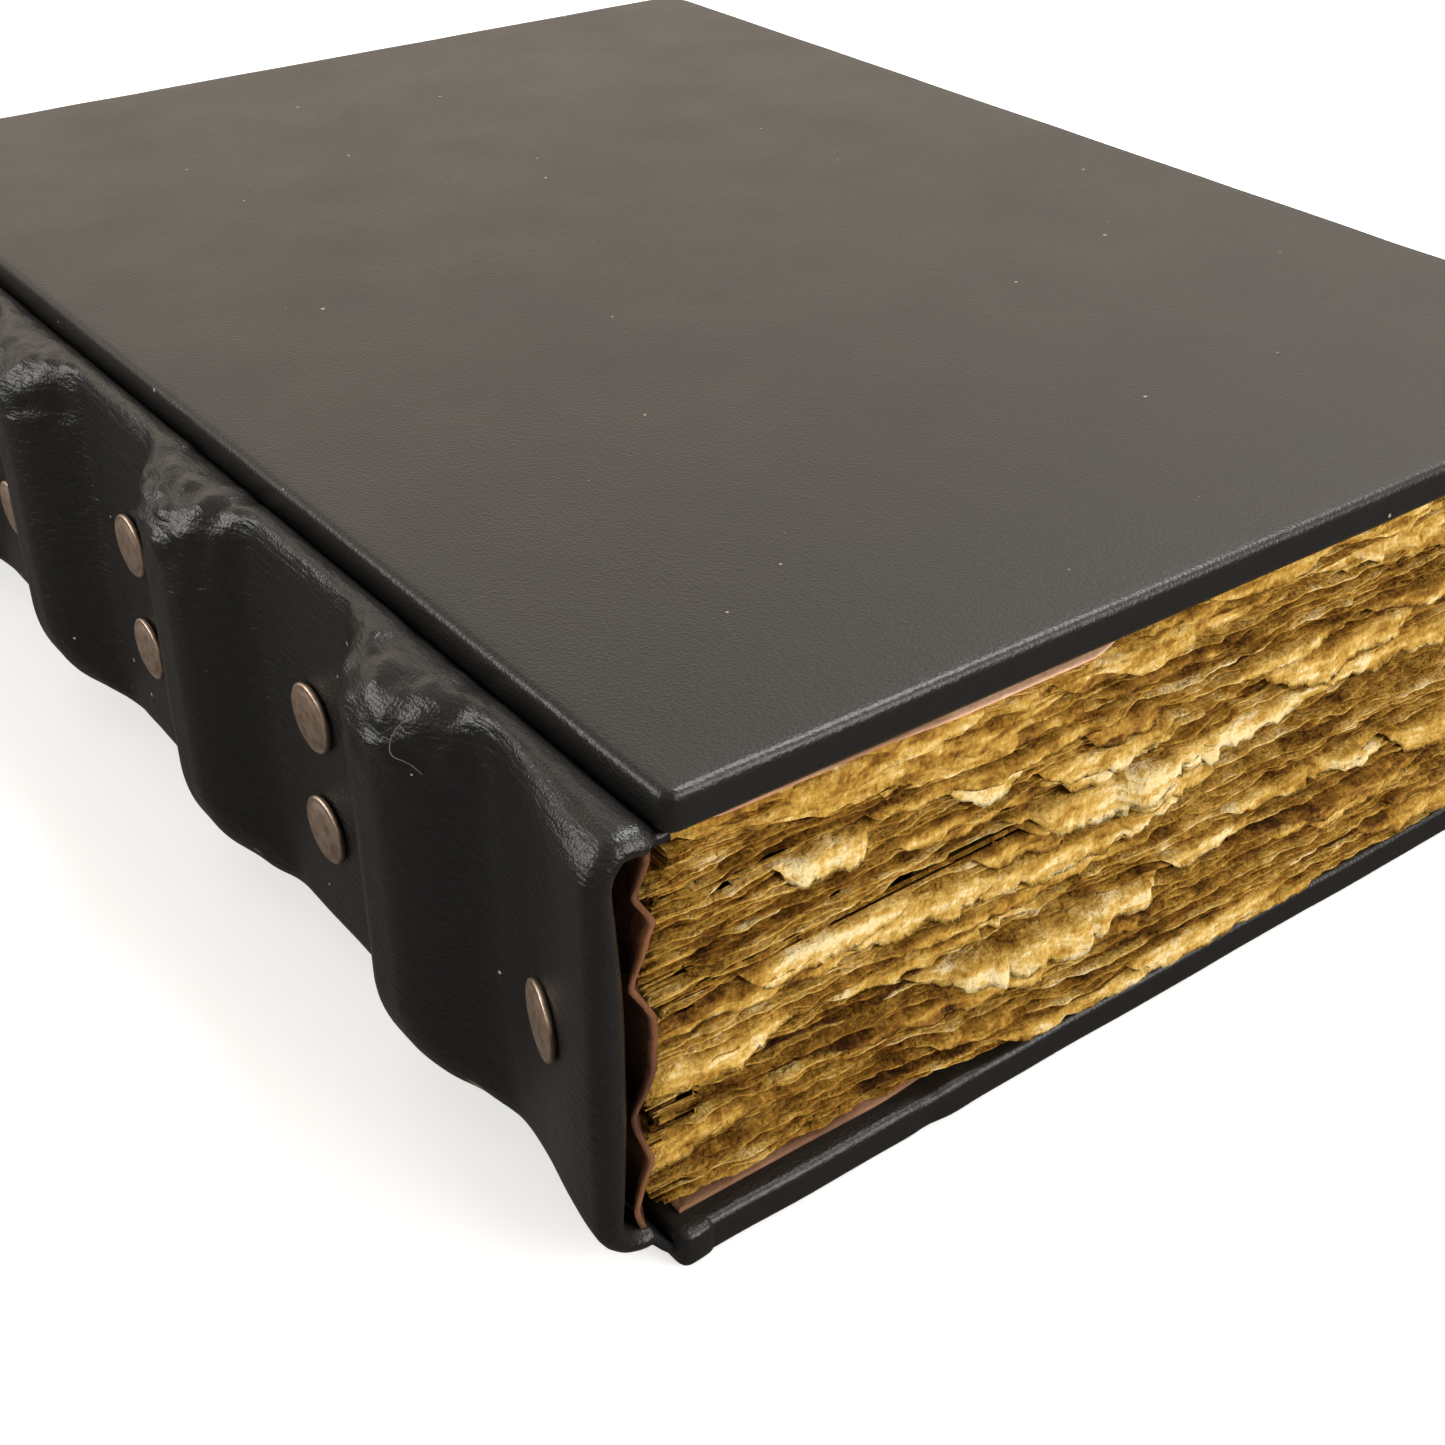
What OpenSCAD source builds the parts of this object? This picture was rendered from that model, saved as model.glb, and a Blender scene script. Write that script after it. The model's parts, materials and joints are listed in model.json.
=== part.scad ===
// Leather-bound prayer book with raised bands, laid flat on its back cover.
// X runs from the spine to the fore edge, Y from tail to head, Z upward.

/* [Book] */
// height of the covers, tail to head
book_h = 254.6; // [200:0.1:320]
// from the middle of the joint groove to the fore edge
book_w = 185; // [140:0.5:240]
// from the table to the top of the front cover
book_t = 67.2; // [45:0.1:90]

/* [Covers] */
// thickness of a covered board
cover_t = 5.3; // [3:0.1:8]
// thickness of the cover leather
skin_t = 1.1; // [0.6:0.1:2]
// rounding of the covered edges
edge_r = 1.3; // [1:0.1:2.6]
// rounding of the cover corners beside the spine, seen from above
corner_r = 2.2; // [2.2:0.1:8]
// rounding of the cover corners at the fore edge, seen from above
fore_corner_r = 7; // [2.2:0.1:12]
// start of the front board from the groove
front_gap = 2.3; // [1.5:0.1:6]
// start of the back board from the groove
back_gap = 3.8; // [2:0.1:8]
// width of the leather turned in over the board
turn_in = 14; // [8:0.5:25]
// thickness of the leather lining on top of the turn-in
lining_t = 0.6; // [0.3:0.1:1.5]
// margin of cover leather left showing round the lining
lining_margin = 4; // [2:0.5:10]

/* [Spine] */
// distance of the panels outside the groove
panel_out = 2.2; // [2:0.1:8]
// rise of the raised bands above the panels
band_rise = 7.6; // [2:0.1:10]
// outward flare at the head and tail
end_flare = 4.8; // [3:0.1:6]
// length over which the ends flare
flare_length = 27; // [20:0.5:28]
// half width of the flat crest of a band
crest_half = 2; // [2:0.5:8]
// half width of a band at its foot
foot_half = 17; // [8:0.5:20]
// distance from one band to the next
band_pitch = 56.65; // [30:0.05:70]
// height over which the crests of the bands turn in at the top
top_turn = 7.5; // [3:0.5:12]
// height over which the crests of the bands turn in at the bottom
bottom_turn = 11; // [3:0.5:16]
// thickness of the stiffener under the spine leather
stiff_t = 1.2; // [0.8:0.1:2]
// top shoulder of the spine, below the face of the front cover
shoulder_in = 3.1; // [2:0.1:5]
// bottom shoulder of the spine, above the table
bottom_in = 5.6; // [4:0.1:8]
// length of the spine leather turned in at head and tail
end_turn = 12; // [6:0.5:20]

/* [Rivets] */
// radius of a rivet cap
cap_r = 4.8; // [3:0.1:8]
// thickness of a rivet cap
cap_t = 1.2; // [0.9:0.1:2.5]
// radius of a rivet shank
shank_r = 1.5; // [1:0.1:2.5]
// radius of the washer behind a rivet
back_r = 4; // [2.5:0.1:6]
// thickness of the washer behind a rivet
back_t = 0.5; // [0.3:0.1:1]
// distance of the end rivets from head and tail
end_rivet = 14; // [8:0.5:24]
// half the spacing of a rivet pair
pair_half = 8.7; // [6:0.1:14]

/* [Pages] */
// page width
page_w = 175.5; // [120:0.5:230]
// square of the covers beyond the pages at head and tail
square_in = 5; // [2:0.5:8]
// thickness of one loose leaf
leaf_t = 0.45; // [0.2:0.05:0.8]
// distance from one loose leaf to the next
leaf_pitch = 0.7; // [0.5:0.05:1.2]
// thickness of the loose opening gathering
gather_t = 3; // [1.5:0.1:5]
// thickness of the pleated leather liner
liner_t = 0.9; // [0.5:0.1:1.5]

/* [Hidden] */

e = 0.01;
// clearance round parts that are pressed together
fit = 0.05;
// radius of the board corners inside the leather
board_r = 1.5;
// depth of the rivet backs below the inner face of the stiffener
back_in = 0.1;
// gap under the rivet caps, so that they clear the curve of the leather
cap_gap = 0.1;
// clearance between the linings and the flyleaves
fly_gap = 0.3;
// clearance between the other leaves and gatherings
leaf_gap = 0.25;
// clearance between the liner and the folds of the gatherings
fold_gap = 0.45;
// how far the outer sheets of a gathering draw in at the fold
fold_round = 2.2;
// radius of the sewing thread
thread_r = 0.4;
// height of the rivet row, and of the middle of every rivet pair
mid_z = 32.6;
// start of the loose leaves and end of the pages
leaf_x0 = 5.4;
page_x1 = leaf_x0 + page_w;
spine_reach = panel_out + band_rise;
x_mid = (book_w - spine_reach) / 2;
front_z = book_t - cover_t;
// loose leaves, from the top down
fly_z = front_z - lining_t - fly_gap - leaf_t;
gather_z = fly_z - leaf_gap - gather_t;
sig1_top = gather_z - leaf_gap - 5 * leaf_pitch;
back_fly_z = cover_t + lining_t + fly_gap;
// limits of the four sewn gatherings
sig_lo = [51.5, 35.05, 18.55, back_fly_z + leaf_t + 0.2];
sig_hi = [sig1_top, 51.3, 34.85, 18.35];

// the object frame: middle of the box in X and Y, table at Z = 0
module place() { translate([-x_mid, -book_h / 2, 0]) children(); }

function smooth(t) = let (u = min(1, max(0, t))) u * u * (3 - 2 * u);
function band_y(i) = book_h / 2 + (i - 2.5) * band_pitch;
function bump(d) = 1 - smooth((abs(d) - crest_half) / (foot_half - crest_half));
function bands(y) = bump(y - band_y(1)) + bump(y - band_y(2))
    + bump(y - band_y(3)) + bump(y - band_y(4));
// share of the flare, full at the very end and easing to none
function flare(y) = let (d = min(y, book_h - y))
    (1 + cos(180 * min(1, d / flare_length))) / 2;
// outer face of the spine leather, measured outward
function spine_out(y) = panel_out + end_flare * flare(y) + band_rise * bands(y);
// turn of the spine surface about Z, which leans the end rivets
function lean(y) = atan(spine_out(y + 0.5) - spine_out(y - 0.5));
// inner face of the stiffener, measured outward
function spine_in(y) = panel_out - skin_t - stiff_t - 0.15 + end_flare * flare(y);

// wave of the pleated liner, as height and position
wave = [[7.2, -0.4], [11.7, -1.7], [18.4, 0.6], [25.8, -1.7], [31.2, 1.3],
    [38.6, 1.3], [43.8, -1.4], [51.4, 1.4], [60.1, 1.4]];
// least reach of the wave where the spine sits close to the pages
near_x = 0.95;
// length of the full wave at head and tail
wave_end = 4;
function seg(z, i = 0) = i >= len(wave) - 2 || z < wave[i + 1][0] ? i : seg(z, i + 1);
function wave_x(z) = let (i = seg(z), a = wave[i], b = wave[i + 1],
    t = smooth((z - a[0]) / (b[0] - a[0]))) a[1] + (b[1] - a[1]) * t;

// rectangle with rounded corners of radius r, and fr at the far end of X
module rounded_plan(x0, y0, x1, y1, r, fr) {
    hull() {
        for (y = [y0 + r, y1 - r]) translate([x0 + r, y]) circle(r, $fn = 48);
        for (y = [y0 + fr, y1 - fr]) translate([x1 - fr, y]) circle(fr, $fn = 48);
    }
}

// slab with every outer edge rounded
module soft_slab(x0, y0, z0, x1, y1, z1, r, c, fc) {
    intersection() {
        translate([0, y1 + 1, 0]) rotate([90, 0, 0])
            linear_extrude(y1 - y0 + 2) rounded_plan(x0, z0, x1, z1, r, r);
        translate([x0 - 1, 0, 0]) rotate([90, 0, 90])
            linear_extrude(x1 - x0 + 2) rounded_plan(y0, z0, y1, z1, r, r);
        translate([0, 0, z0 - 1])
            linear_extrude(z1 - z0 + 2) rounded_plan(x0, y0, x1, y1, c, fc);
    }
}

// flat plate with rounded corners in plan
module plate(x0, y0, z0, x1, y1, z1, c, fc) {
    translate([0, 0, z0]) linear_extrude(z1 - z0) rounded_plan(x0, y0, x1, y1, c, fc);
}

// leather of one cover; up is 1 when the inner face looks up
module cover_leather(x0, z0, up) {
    difference() {
        soft_slab(x0, 0, z0, book_w, book_h, z0 + cover_t, edge_r, corner_r, fore_corner_r);
        cover_board(x0, z0);
        plate(x0 + turn_in, turn_in, up ? z0 + cover_t / 2 : z0 - 1,
            book_w - turn_in, book_h - turn_in, up ? z0 + cover_t + 1 : z0 + cover_t / 2, 1, 1);
    }
}

module cover_board(x0, z0) {
    plate(x0 + skin_t, skin_t, z0 + skin_t, book_w - skin_t, book_h - skin_t,
        z0 + cover_t - skin_t, board_r, fore_corner_r - skin_t);
}

// leather lining: fills the window in the turn-in and laps over it
module cover_lining(x0, z0, up) {
    m = lining_margin;
    zi = up ? z0 + cover_t : z0 - lining_t;
    zw = up ? z0 + cover_t - skin_t : z0 - e;
    plate(x0 + m, m, zi, book_w - m, book_h - m, zi + lining_t, 2, fore_corner_r - m);
    plate(x0 + turn_in, turn_in, zw, book_w - turn_in, book_h - turn_in,
        zw + skin_t + e, 1, 1);
}

module back_board() color([0.62, 0.53, 0.42]) place() cover_board(back_gap, 0);
module back_leather() color([0.07, 0.065, 0.06]) place() cover_leather(back_gap, 0, true);
module back_lining() color([0.62, 0.4, 0.22]) place() cover_lining(back_gap, 0, true);
module front_board() color([0.62, 0.53, 0.42]) place() cover_board(front_gap, front_z);
module front_leather() color([0.07, 0.065, 0.06]) place() cover_leather(front_gap, front_z, false);
module front_lining() color([0.62, 0.4, 0.22]) place() cover_lining(front_gap, front_z, false);

// outline of the spine seen from above, moved inward by d and trimmed at the ends by t
module spine_plan(d, t) {
    n = 240;
    y0 = t;
    y1 = book_h - t;
    polygon(concat(
        [for (i = [0:n]) let (y = y0 + (y1 - y0) * i / n) [-spine_out(y) + d, y]],
        [[0, y1], [0, y0]]));
}

// shoulder profile of the spine, moved inward by d
module shoulder_profile(d) {
    n = 24;
    zt = book_t - shoulder_in - d;
    zb = bottom_in + d;
    function turn(x) = pow(max(0, -x - 0.4) / spine_reach, 1.8);
    polygon(concat(
        [for (i = [0:n]) let (x = -14 * i / n - 0.2) [x, zt - top_turn * turn(x)]],
        [for (i = [n:-1:0]) let (x = -14 * i / n - 0.2) [x, zb + bottom_turn * turn(x)]]));
}

module spine_body(d, t) {
    intersection() {
        translate([0, 0, -1]) linear_extrude(book_t + 2) spine_plan(d, t);
        translate([0, book_h + 1, 0]) rotate([90, 0, 0])
            linear_extrude(book_h + 2) shoulder_profile(d);
    }
}

// region between two outward distances given as plan polygons
module strip_plan(a, b, y0, y1, n) {
    polygon(concat(
        [for (i = [0:n]) let (y = y0 + (y1 - y0) * i / n) [-spine_in(y) - b, y]],
        [for (i = [n:-1:0]) let (y = y0 + (y1 - y0) * i / n) [-spine_in(y) - a, y]]));
}

function rivet_spots() = concat(
    [[end_rivet, mid_z], [book_h - end_rivet, mid_z]],
    [for (i = [1:3]) for (s = [-1, 1])
        [(band_y(i) + band_y(i + 1)) / 2, mid_z + s * pair_half]]);

// leather and stiffener together, square to the surface where a rivet goes through
function wall(y) = (spine_out(y) - spine_in(y)) * cos(lean(y));
// stands on the leather at a rivet, +Z outward
module on_leather(r) {
    translate([-spine_out(r[0]), r[0], r[1]]) rotate([0, 0, lean(r[0])])
        rotate([0, -90, 0]) children();
}

module rivet_holes() {
    for (r = rivet_spots()) on_leather(r)
        translate([0, 0, -5]) cylinder(r = shank_r + fit, h = 8, $fn = 48);
}

// heights between which the spine leather turns in at head and tail
turn_z0 = bottom_in + skin_t + 1.6;
turn_z1 = book_t - shoulder_in - skin_t - 1.6;
// heights between which the stiffener lies
stiff_z0 = bottom_in + 5.2;
stiff_z1 = book_t - shoulder_in - 3.2;

module spine_leather() color([0.07, 0.065, 0.06]) place() difference() {
    union() {
        difference() {
            spine_body(0, 0);
            // hollow behind the outer skin, open toward the pages
            spine_body(skin_t, skin_t);
        }
        // leather turned in at the head and tail
        for (k = [0, 1]) intersection() {
            translate([0, 0, turn_z0]) linear_extrude(turn_z1 - turn_z0)
                strip_plan(-0.9, -fit, k ? book_h - end_turn : skin_t - 0.6,
                    k ? book_h - skin_t + 0.6 : end_turn, 16);
            spine_body(0, 0);
        }
        // end walls joining the outer skin to the turn-in
        for (k = [0, 1]) intersection() {
            translate([-spine_out(0) + 0.4, k ? book_h - skin_t : 0, turn_z0])
                cube([spine_out(0) - spine_in(0) + 0.5, skin_t, turn_z1 - turn_z0]);
            spine_body(0, 0);
        }
    }
    rivet_holes();
}

module spine_stiffener() color([0.55, 0.46, 0.35]) place() difference() {
    translate([0, 0, stiff_z0]) linear_extrude(stiff_z1 - stiff_z0)
        strip_plan(0, stiff_t, skin_t + 0.2, book_h - skin_t - 0.2, 240);
    rivet_holes();
    // seats of the rivet backs
    for (r = rivet_spots()) on_leather(r)
        translate([0, 0, back_in + back_t + fit - wall(r[0]) - 3])
        cylinder(r = back_r + 0.1, h = 3, $fn = 48);
}

// filling of one raised band, between the stiffener and the leather
module band_core(i) {
    n = 28;
    w = foot_half - 3.2;
    yb = band_y(i);
    intersection() {
        linear_extrude(book_t) polygon(concat(
            [for (k = [0:n]) let (y = yb - w + 2 * w * k / n)
                [-spine_out(y) + skin_t + fit, y]],
            [for (s = [1, -1]) [-spine_in(yb) - stiff_t - fit, yb + s * w]]));
        translate([0, book_h + 1, 0]) rotate([90, 0, 0])
            linear_extrude(book_h + 2) shoulder_profile(skin_t + 0.1);
    }
}
module band_core_1() color([0.5, 0.36, 0.24]) place() band_core(1);
module band_core_2() color([0.5, 0.36, 0.24]) place() band_core(2);
module band_core_3() color([0.5, 0.36, 0.24]) place() band_core(3);
module band_core_4() color([0.5, 0.36, 0.24]) place() band_core(4);

// thin domed cap with a rolled rim and its shank
module rivet_cap(out, inn) {
    rotate_extrude($fn = 64) polygon([[0, inn], [shank_r, inn], [shank_r, out],
        [cap_r - 0.5, out], [cap_r, out + 0.45], [cap_r - 0.25, out + 0.85],
        [cap_r - 0.9, out + 0.9], [cap_r * 0.6, out + cap_t - 0.15],
        [cap_r * 0.3, out + cap_t - 0.03], [0, out + cap_t]]);
}

module rivet_caps() color([0.5, 0.36, 0.25]) place()
    for (r = rivet_spots()) on_leather(r) rivet_cap(cap_gap, back_in - wall(r[0]));

module rivet_backs() color([0.5, 0.36, 0.25]) place()
    for (r = rivet_spots()) on_leather(r) translate([0, 0, back_in - wall(r[0])]) difference() {
        cylinder(r = back_r, h = back_t, $fn = 48);
        translate([0, 0, -1]) cylinder(r = shank_r + fit, h = back_t + 2, $fn = 48);
    }

// pleated leather the gatherings are sewn through
module liner_length(y0, y1, least) {
    n = 72;
    z0 = wave[0][0];
    z1 = wave[len(wave) - 1][0];
    h = liner_t / 2;
    function line_x(i) = max(least, wave_x(z0 + (z1 - z0) * i / n));
    function line_z(i) = z0 + (z1 - z0) * i / n;
    translate([0, y1, 0]) rotate([90, 0, 0]) linear_extrude(y1 - y0)
        polygon(concat([for (i = [0:n]) [line_x(i) - h, line_z(i)]],
            [for (i = [n:-1:0]) [line_x(i) + h, line_z(i)]]));
}
module spine_liner() color([0.62, 0.4, 0.22]) place() {
    liner_length(2, wave_end, -9);
    liner_length(wave_end, book_h - wave_end, near_x);
    liner_length(book_h - wave_end, book_h - 2, -9);
}

// fold of a gathering at a height, just clear of the liner
function fold(z) = max(wave_x(z), near_x) + liner_t / 2 + fold_gap;
function sig_mid(i) = (sig_lo[i] + sig_hi[i]) / 2;
// one sewn gathering: rounded folds against the liner, spread fore edge
module gathering(i) {
    n = 24;
    lo = sig_lo[i];
    hi = sig_hi[i];
    m = sig_mid(i);
    hh = (hi - lo) / 2;
    function left(z) = fold(z) + fold_round * pow(abs(z - m) / hh, 6);
    difference() {
        translate([0, book_h - square_in, 0]) rotate([90, 0, 0])
            linear_extrude(book_h - 2 * square_in) polygon(concat(
                [for (k = [0:n]) let (z = lo + (hi - lo) * k / n) [left(z), z]],
                [[page_x1 - 0.8, hi], [page_x1 + 0.4, m], [page_x1 - 0.8, lo]]));
        // crease that holds the thread
        translate([left(m) + 1.6, 0, m - 0.5]) cube([2.4, book_h, 1]);
    }
}
module signature_1() color([0.78, 0.62, 0.36]) place() gathering(0);
module signature_2() color([0.78, 0.62, 0.36]) place() gathering(1);
module signature_3() color([0.78, 0.62, 0.36]) place() gathering(2);
module signature_4() color([0.78, 0.62, 0.36]) place() gathering(3);

// thread lying in the middle crease of every gathering
module sewing_thread() color([0.85, 0.8, 0.68]) place()
    for (i = [0:3]) translate([fold(sig_mid(i)) + 2.2, book_h - 16, sig_mid(i)])
        rotate([90, 0, 0]) cylinder(r = thread_r, h = book_h - 32, $fn = 24);

// loose sheet with uneven torn edges
module sheet(z, t, s) {
    n = 18;
    y0 = square_in;
    y1 = book_h - square_in;
    function tear(u) = 0.5 * sin(u * 743 + s * 71) + 0.4 * sin(u * 1571 + s * 113)
        + 0.3 * sin(u * 2903 + s * 37);
    translate([0, 0, z]) linear_extrude(t) polygon(concat(
        [[leaf_x0, y1], [leaf_x0, y0]],
        [for (i = [1:n]) let (u = i / (n + 1)) [leaf_x0 + page_w * u, y0 + tear(u)]],
        [for (i = [0:n]) let (u = i / n) [page_x1 + tear(u + 2), y0 + (y1 - y0) * u]],
        [for (i = [n:-1:1]) let (u = i / (n + 1)) [leaf_x0 + page_w * u, y1 + tear(u + 4)]]));
}
function leaf_z(i) = gather_z - i * leaf_pitch;
module back_flyleaf() color([0.8, 0.65, 0.4]) place() sheet(back_fly_z, leaf_t, 9);
module front_flyleaf() color([0.8, 0.65, 0.4]) place() sheet(fly_z, leaf_t, 1);
module leaf_1() color([0.8, 0.65, 0.4]) place() sheet(leaf_z(1), leaf_t, 2);
module leaf_2() color([0.8, 0.65, 0.4]) place() sheet(leaf_z(2), leaf_t, 3);
module leaf_3() color([0.8, 0.65, 0.4]) place() sheet(leaf_z(3), leaf_t, 4);
module leaf_4() color([0.8, 0.65, 0.4]) place() sheet(leaf_z(4), leaf_t, 5);
module leaf_5() color([0.8, 0.65, 0.4]) place() sheet(leaf_z(5), leaf_t, 6);

module opening_gathering() color([0.78, 0.62, 0.36]) place() {
    n = 10;
    m = gather_z + gather_t / 2;
    translate([0, book_h - square_in, 0]) rotate([90, 0, 0])
        linear_extrude(book_h - 2 * square_in) polygon(concat(
            [for (k = [0:n]) let (t = -1 + 2 * k / n)
                [leaf_x0 + 1.2 * pow(abs(t), 3), m + gather_t / 2 * t]],
            [[page_x1 - 0.4, gather_z + gather_t], [page_x1 + 0.3, m],
                [page_x1 - 0.4, gather_z]]));
}

// flexing strip in a joint groove, from its edge line and thickness direction
module joint_strip(pts, side) {
    translate([0, book_h - 1, 0]) rotate([90, 0, 0]) linear_extrude(book_h - 2)
        polygon(concat([for (q = pts) q],
            [for (k = [len(pts) - 1:-1:0]) pts[k] + [0, side * skin_t]]));
}
function front_valley(u) = let (zt = book_t - shoulder_in - 0.2, zb = front_z + 0.9)
    [-0.1 + front_gap * u, zt + (zb - zt) * u - 1.7 * sin(180 * u)];
function back_slope(u) = let (zt = bottom_in + 0.2, zb = 1.2)
    [-0.1 + back_gap * u, zt + (zb - zt) * smooth(u)];
module front_joint_leather() color([0.07, 0.065, 0.06]) place()
    joint_strip([for (i = [0:12]) front_valley(i / 12)], -1);
module back_joint_leather() color([0.07, 0.065, 0.06]) place()
    joint_strip([for (i = [0:12]) back_slope(i / 12)], 1);

back_board();
back_leather();
back_lining();
back_joint_leather();
spine_leather();
spine_stiffener();
band_core_1();
band_core_2();
band_core_3();
band_core_4();
rivet_caps();
rivet_backs();
spine_liner();
sewing_thread();
signature_1();
signature_2();
signature_3();
signature_4();
back_flyleaf();
front_board();
front_leather();
front_lining();
front_joint_leather();
front_flyleaf();
opening_gathering();
leaf_1();
leaf_2();
leaf_3();
leaf_4();
leaf_5();
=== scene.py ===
"""Leather-bound prayer book with a riveted spine and torn-edge pages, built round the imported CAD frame."""

import json
import math

import bpy
import numpy as np
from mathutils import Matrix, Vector


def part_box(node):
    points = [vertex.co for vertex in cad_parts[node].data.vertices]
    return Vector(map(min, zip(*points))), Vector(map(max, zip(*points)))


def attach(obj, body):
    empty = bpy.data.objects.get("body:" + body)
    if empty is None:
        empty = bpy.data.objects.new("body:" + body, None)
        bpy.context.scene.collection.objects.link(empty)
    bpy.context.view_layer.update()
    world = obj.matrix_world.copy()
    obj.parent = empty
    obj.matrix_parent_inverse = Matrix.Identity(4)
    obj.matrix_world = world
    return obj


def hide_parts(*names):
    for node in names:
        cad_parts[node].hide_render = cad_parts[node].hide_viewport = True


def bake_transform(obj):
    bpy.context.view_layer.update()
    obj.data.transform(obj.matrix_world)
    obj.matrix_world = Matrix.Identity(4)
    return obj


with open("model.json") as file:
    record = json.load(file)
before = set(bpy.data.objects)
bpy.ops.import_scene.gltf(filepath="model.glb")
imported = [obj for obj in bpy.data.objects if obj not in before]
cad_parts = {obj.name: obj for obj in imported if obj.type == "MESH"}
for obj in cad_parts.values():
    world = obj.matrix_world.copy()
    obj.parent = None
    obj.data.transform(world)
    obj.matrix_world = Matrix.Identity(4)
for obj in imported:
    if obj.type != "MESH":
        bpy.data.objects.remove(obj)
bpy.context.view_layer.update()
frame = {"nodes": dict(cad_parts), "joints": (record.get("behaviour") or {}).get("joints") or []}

# ---------------------------------------------------------------- frame
# Shapes are worked out in millimetres from the front joint groove, the tail edge and the table.
MM = 0.001
AXIS_FROM_GROOVE = 0.5
joints = {j["name"]: j for j in frame["joints"]}
front_axis = joints["front_joint"]["pos_m"]
ORIGIN = np.array([front_axis[0] / MM - AXIS_FROM_GROOVE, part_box("front_leather")[0].y / MM, 0.0])


def local_box(node):
    """Lowest and highest corner of a CAD node, in the script's millimetres."""
    low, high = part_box(node)
    return np.array(low) / MM - ORIGIN, np.array(high) / MM - ORIGIN


FRONT_LOW, FRONT_HIGH = local_box("front_leather")
BACK_LOW, BACK_HIGH = local_box("back_leather")
SPINE_LOW, SPINE_HIGH = local_box("spine_leather")
BOOK_H = FRONT_HIGH[1]
BOOK_T = FRONT_HIGH[2]
COVER_T = FRONT_HIGH[2] - FRONT_LOW[2]
LINING_T = FRONT_LOW[2] - local_box("front_lining")[0][2]
PAGE_LOW = np.array([local_box("front_flyleaf")[0][0], 5.0, 0])
PAGE_HIGH = np.array([local_box("signature_2")[1][0] - 0.4, BOOK_H - 5.0, 0])


# ---------------------------------------------------------------- noise and curves
def smooth(t):
    """Eased step from 0 at t = 0 to 1 at t = 1."""
    t = np.clip(t, 0, 1)
    return t * t * (3 - 2 * t)


def lattice_noise(points, cells, seed):
    """Smooth noise from -1 to 1 at points (n, 3), with features about one cell across."""
    q = np.asarray(points, float) / np.asarray(cells, float)
    base = np.floor(q).astype(np.int64)
    f = smooth(q - base)
    table = np.random.default_rng(seed).random(4096) * 2 - 1
    total = np.zeros(len(q))
    for corner in range(8):
        step = np.array([(corner >> k) & 1 for k in range(3)])
        key = base + step
        index = (key[:, 0] * 73856093 ^ key[:, 1] * 19349663 ^ key[:, 2] * 83492791) & 4095
        total += table[index] * np.prod(np.where(step == 1, f, 1 - f), axis=1)
    return total


def line_noise(s, cell, rng):
    """Smooth noise from -1 to 1 along a line, with features about one cell long."""
    q = np.asarray(s, float) / cell + rng.random() * 7
    base = np.floor(q).astype(int)
    knots = rng.random(base.max() - base.min() + 2) * 2 - 1
    f = smooth(q - base)
    i = base - base.min()
    return knots[i] * (1 - f) + knots[i + 1] * f


# ---------------------------------------------------------------- meshes
def build_mesh(name, points, quads, caps=()):
    """A mesh from points in millimetres, quads (n, 4) and any many-sided caps, facing outward."""
    points = np.asarray(points, float)
    quads = np.asarray(quads, np.int64)
    a, b, c, d = (points[quads[:, k]] for k in range(4))
    volume = np.einsum("ij,ij->i", a, np.cross(b, c)).sum() + np.einsum("ij,ij->i", a, np.cross(c, d)).sum()
    for cap in caps:
        ring = points[cap]
        middle = ring.mean(axis=0)
        volume += np.einsum("ij,ij->i", ring, np.cross(np.roll(ring, -1, 0), middle[None, :])).sum()
    if volume < 0:
        quads = quads[:, ::-1]
        caps = [np.asarray(cap)[::-1] for cap in caps]
    corners = np.concatenate([quads.ravel()] + [np.asarray(cap) for cap in caps])
    sizes = np.concatenate([np.full(len(quads), 4), np.array([len(cap) for cap in caps], int)]).astype(int)
    mesh = bpy.data.meshes.new(name)
    mesh.vertices.add(len(points))
    mesh.vertices.foreach_set("co", ((points + ORIGIN) * MM).astype(np.float32).ravel())
    mesh.loops.add(len(corners))
    mesh.loops.foreach_set("vertex_index", corners.astype(np.int32))
    mesh.polygons.add(len(sizes))
    starts = np.concatenate([[0], np.cumsum(sizes)[:-1]])
    mesh.polygons.foreach_set("loop_start", starts.astype(np.int32))
    mesh.polygons.foreach_set("use_smooth", np.ones(len(sizes), bool))
    mesh.update(calc_edges=True)
    mesh.validate()
    return mesh


def add_piece(name, points, quads, caps, material, tone=None, worn=None):
    """A shown object from one closed mesh; tone and worn are kept per point for its colour."""
    mesh = build_mesh(name, points, quads, caps)
    for label, values in (("tone", tone), ("worn", worn)):
        if values is not None:
            layer = mesh.attributes.new(label, "FLOAT", "POINT")
            layer.data.foreach_set("value", np.asarray(values, np.float32))
    mesh.materials.append(material)
    piece = bpy.data.objects.new(name, mesh)
    bpy.context.scene.collection.objects.link(piece)
    return piece


def ring_quads(rings, count):
    """Quads joining rings of count points each, the points of a ring closed round."""
    rows = np.arange(rings - 1)[:, None] * count
    cols = np.arange(count)[None, :]
    after = (cols + 1) % count
    quads = [rows + cols, rows + after, rows + count + after, rows + count + cols]
    return np.stack(quads, axis=-1).reshape(-1, 4)


def end_caps(rings, count):
    """The two many-sided ends of a run of rings."""
    return [np.arange(count)[::-1], np.arange(count) + (rings - 1) * count]


def add_rings(name, points, rings, material, tone=None):
    """A piece from rings of points, each closed round, with its two ends capped."""
    count = len(points) // rings
    return add_piece(name, points, ring_quads(rings, count), end_caps(rings, count), material, tone)


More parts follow.
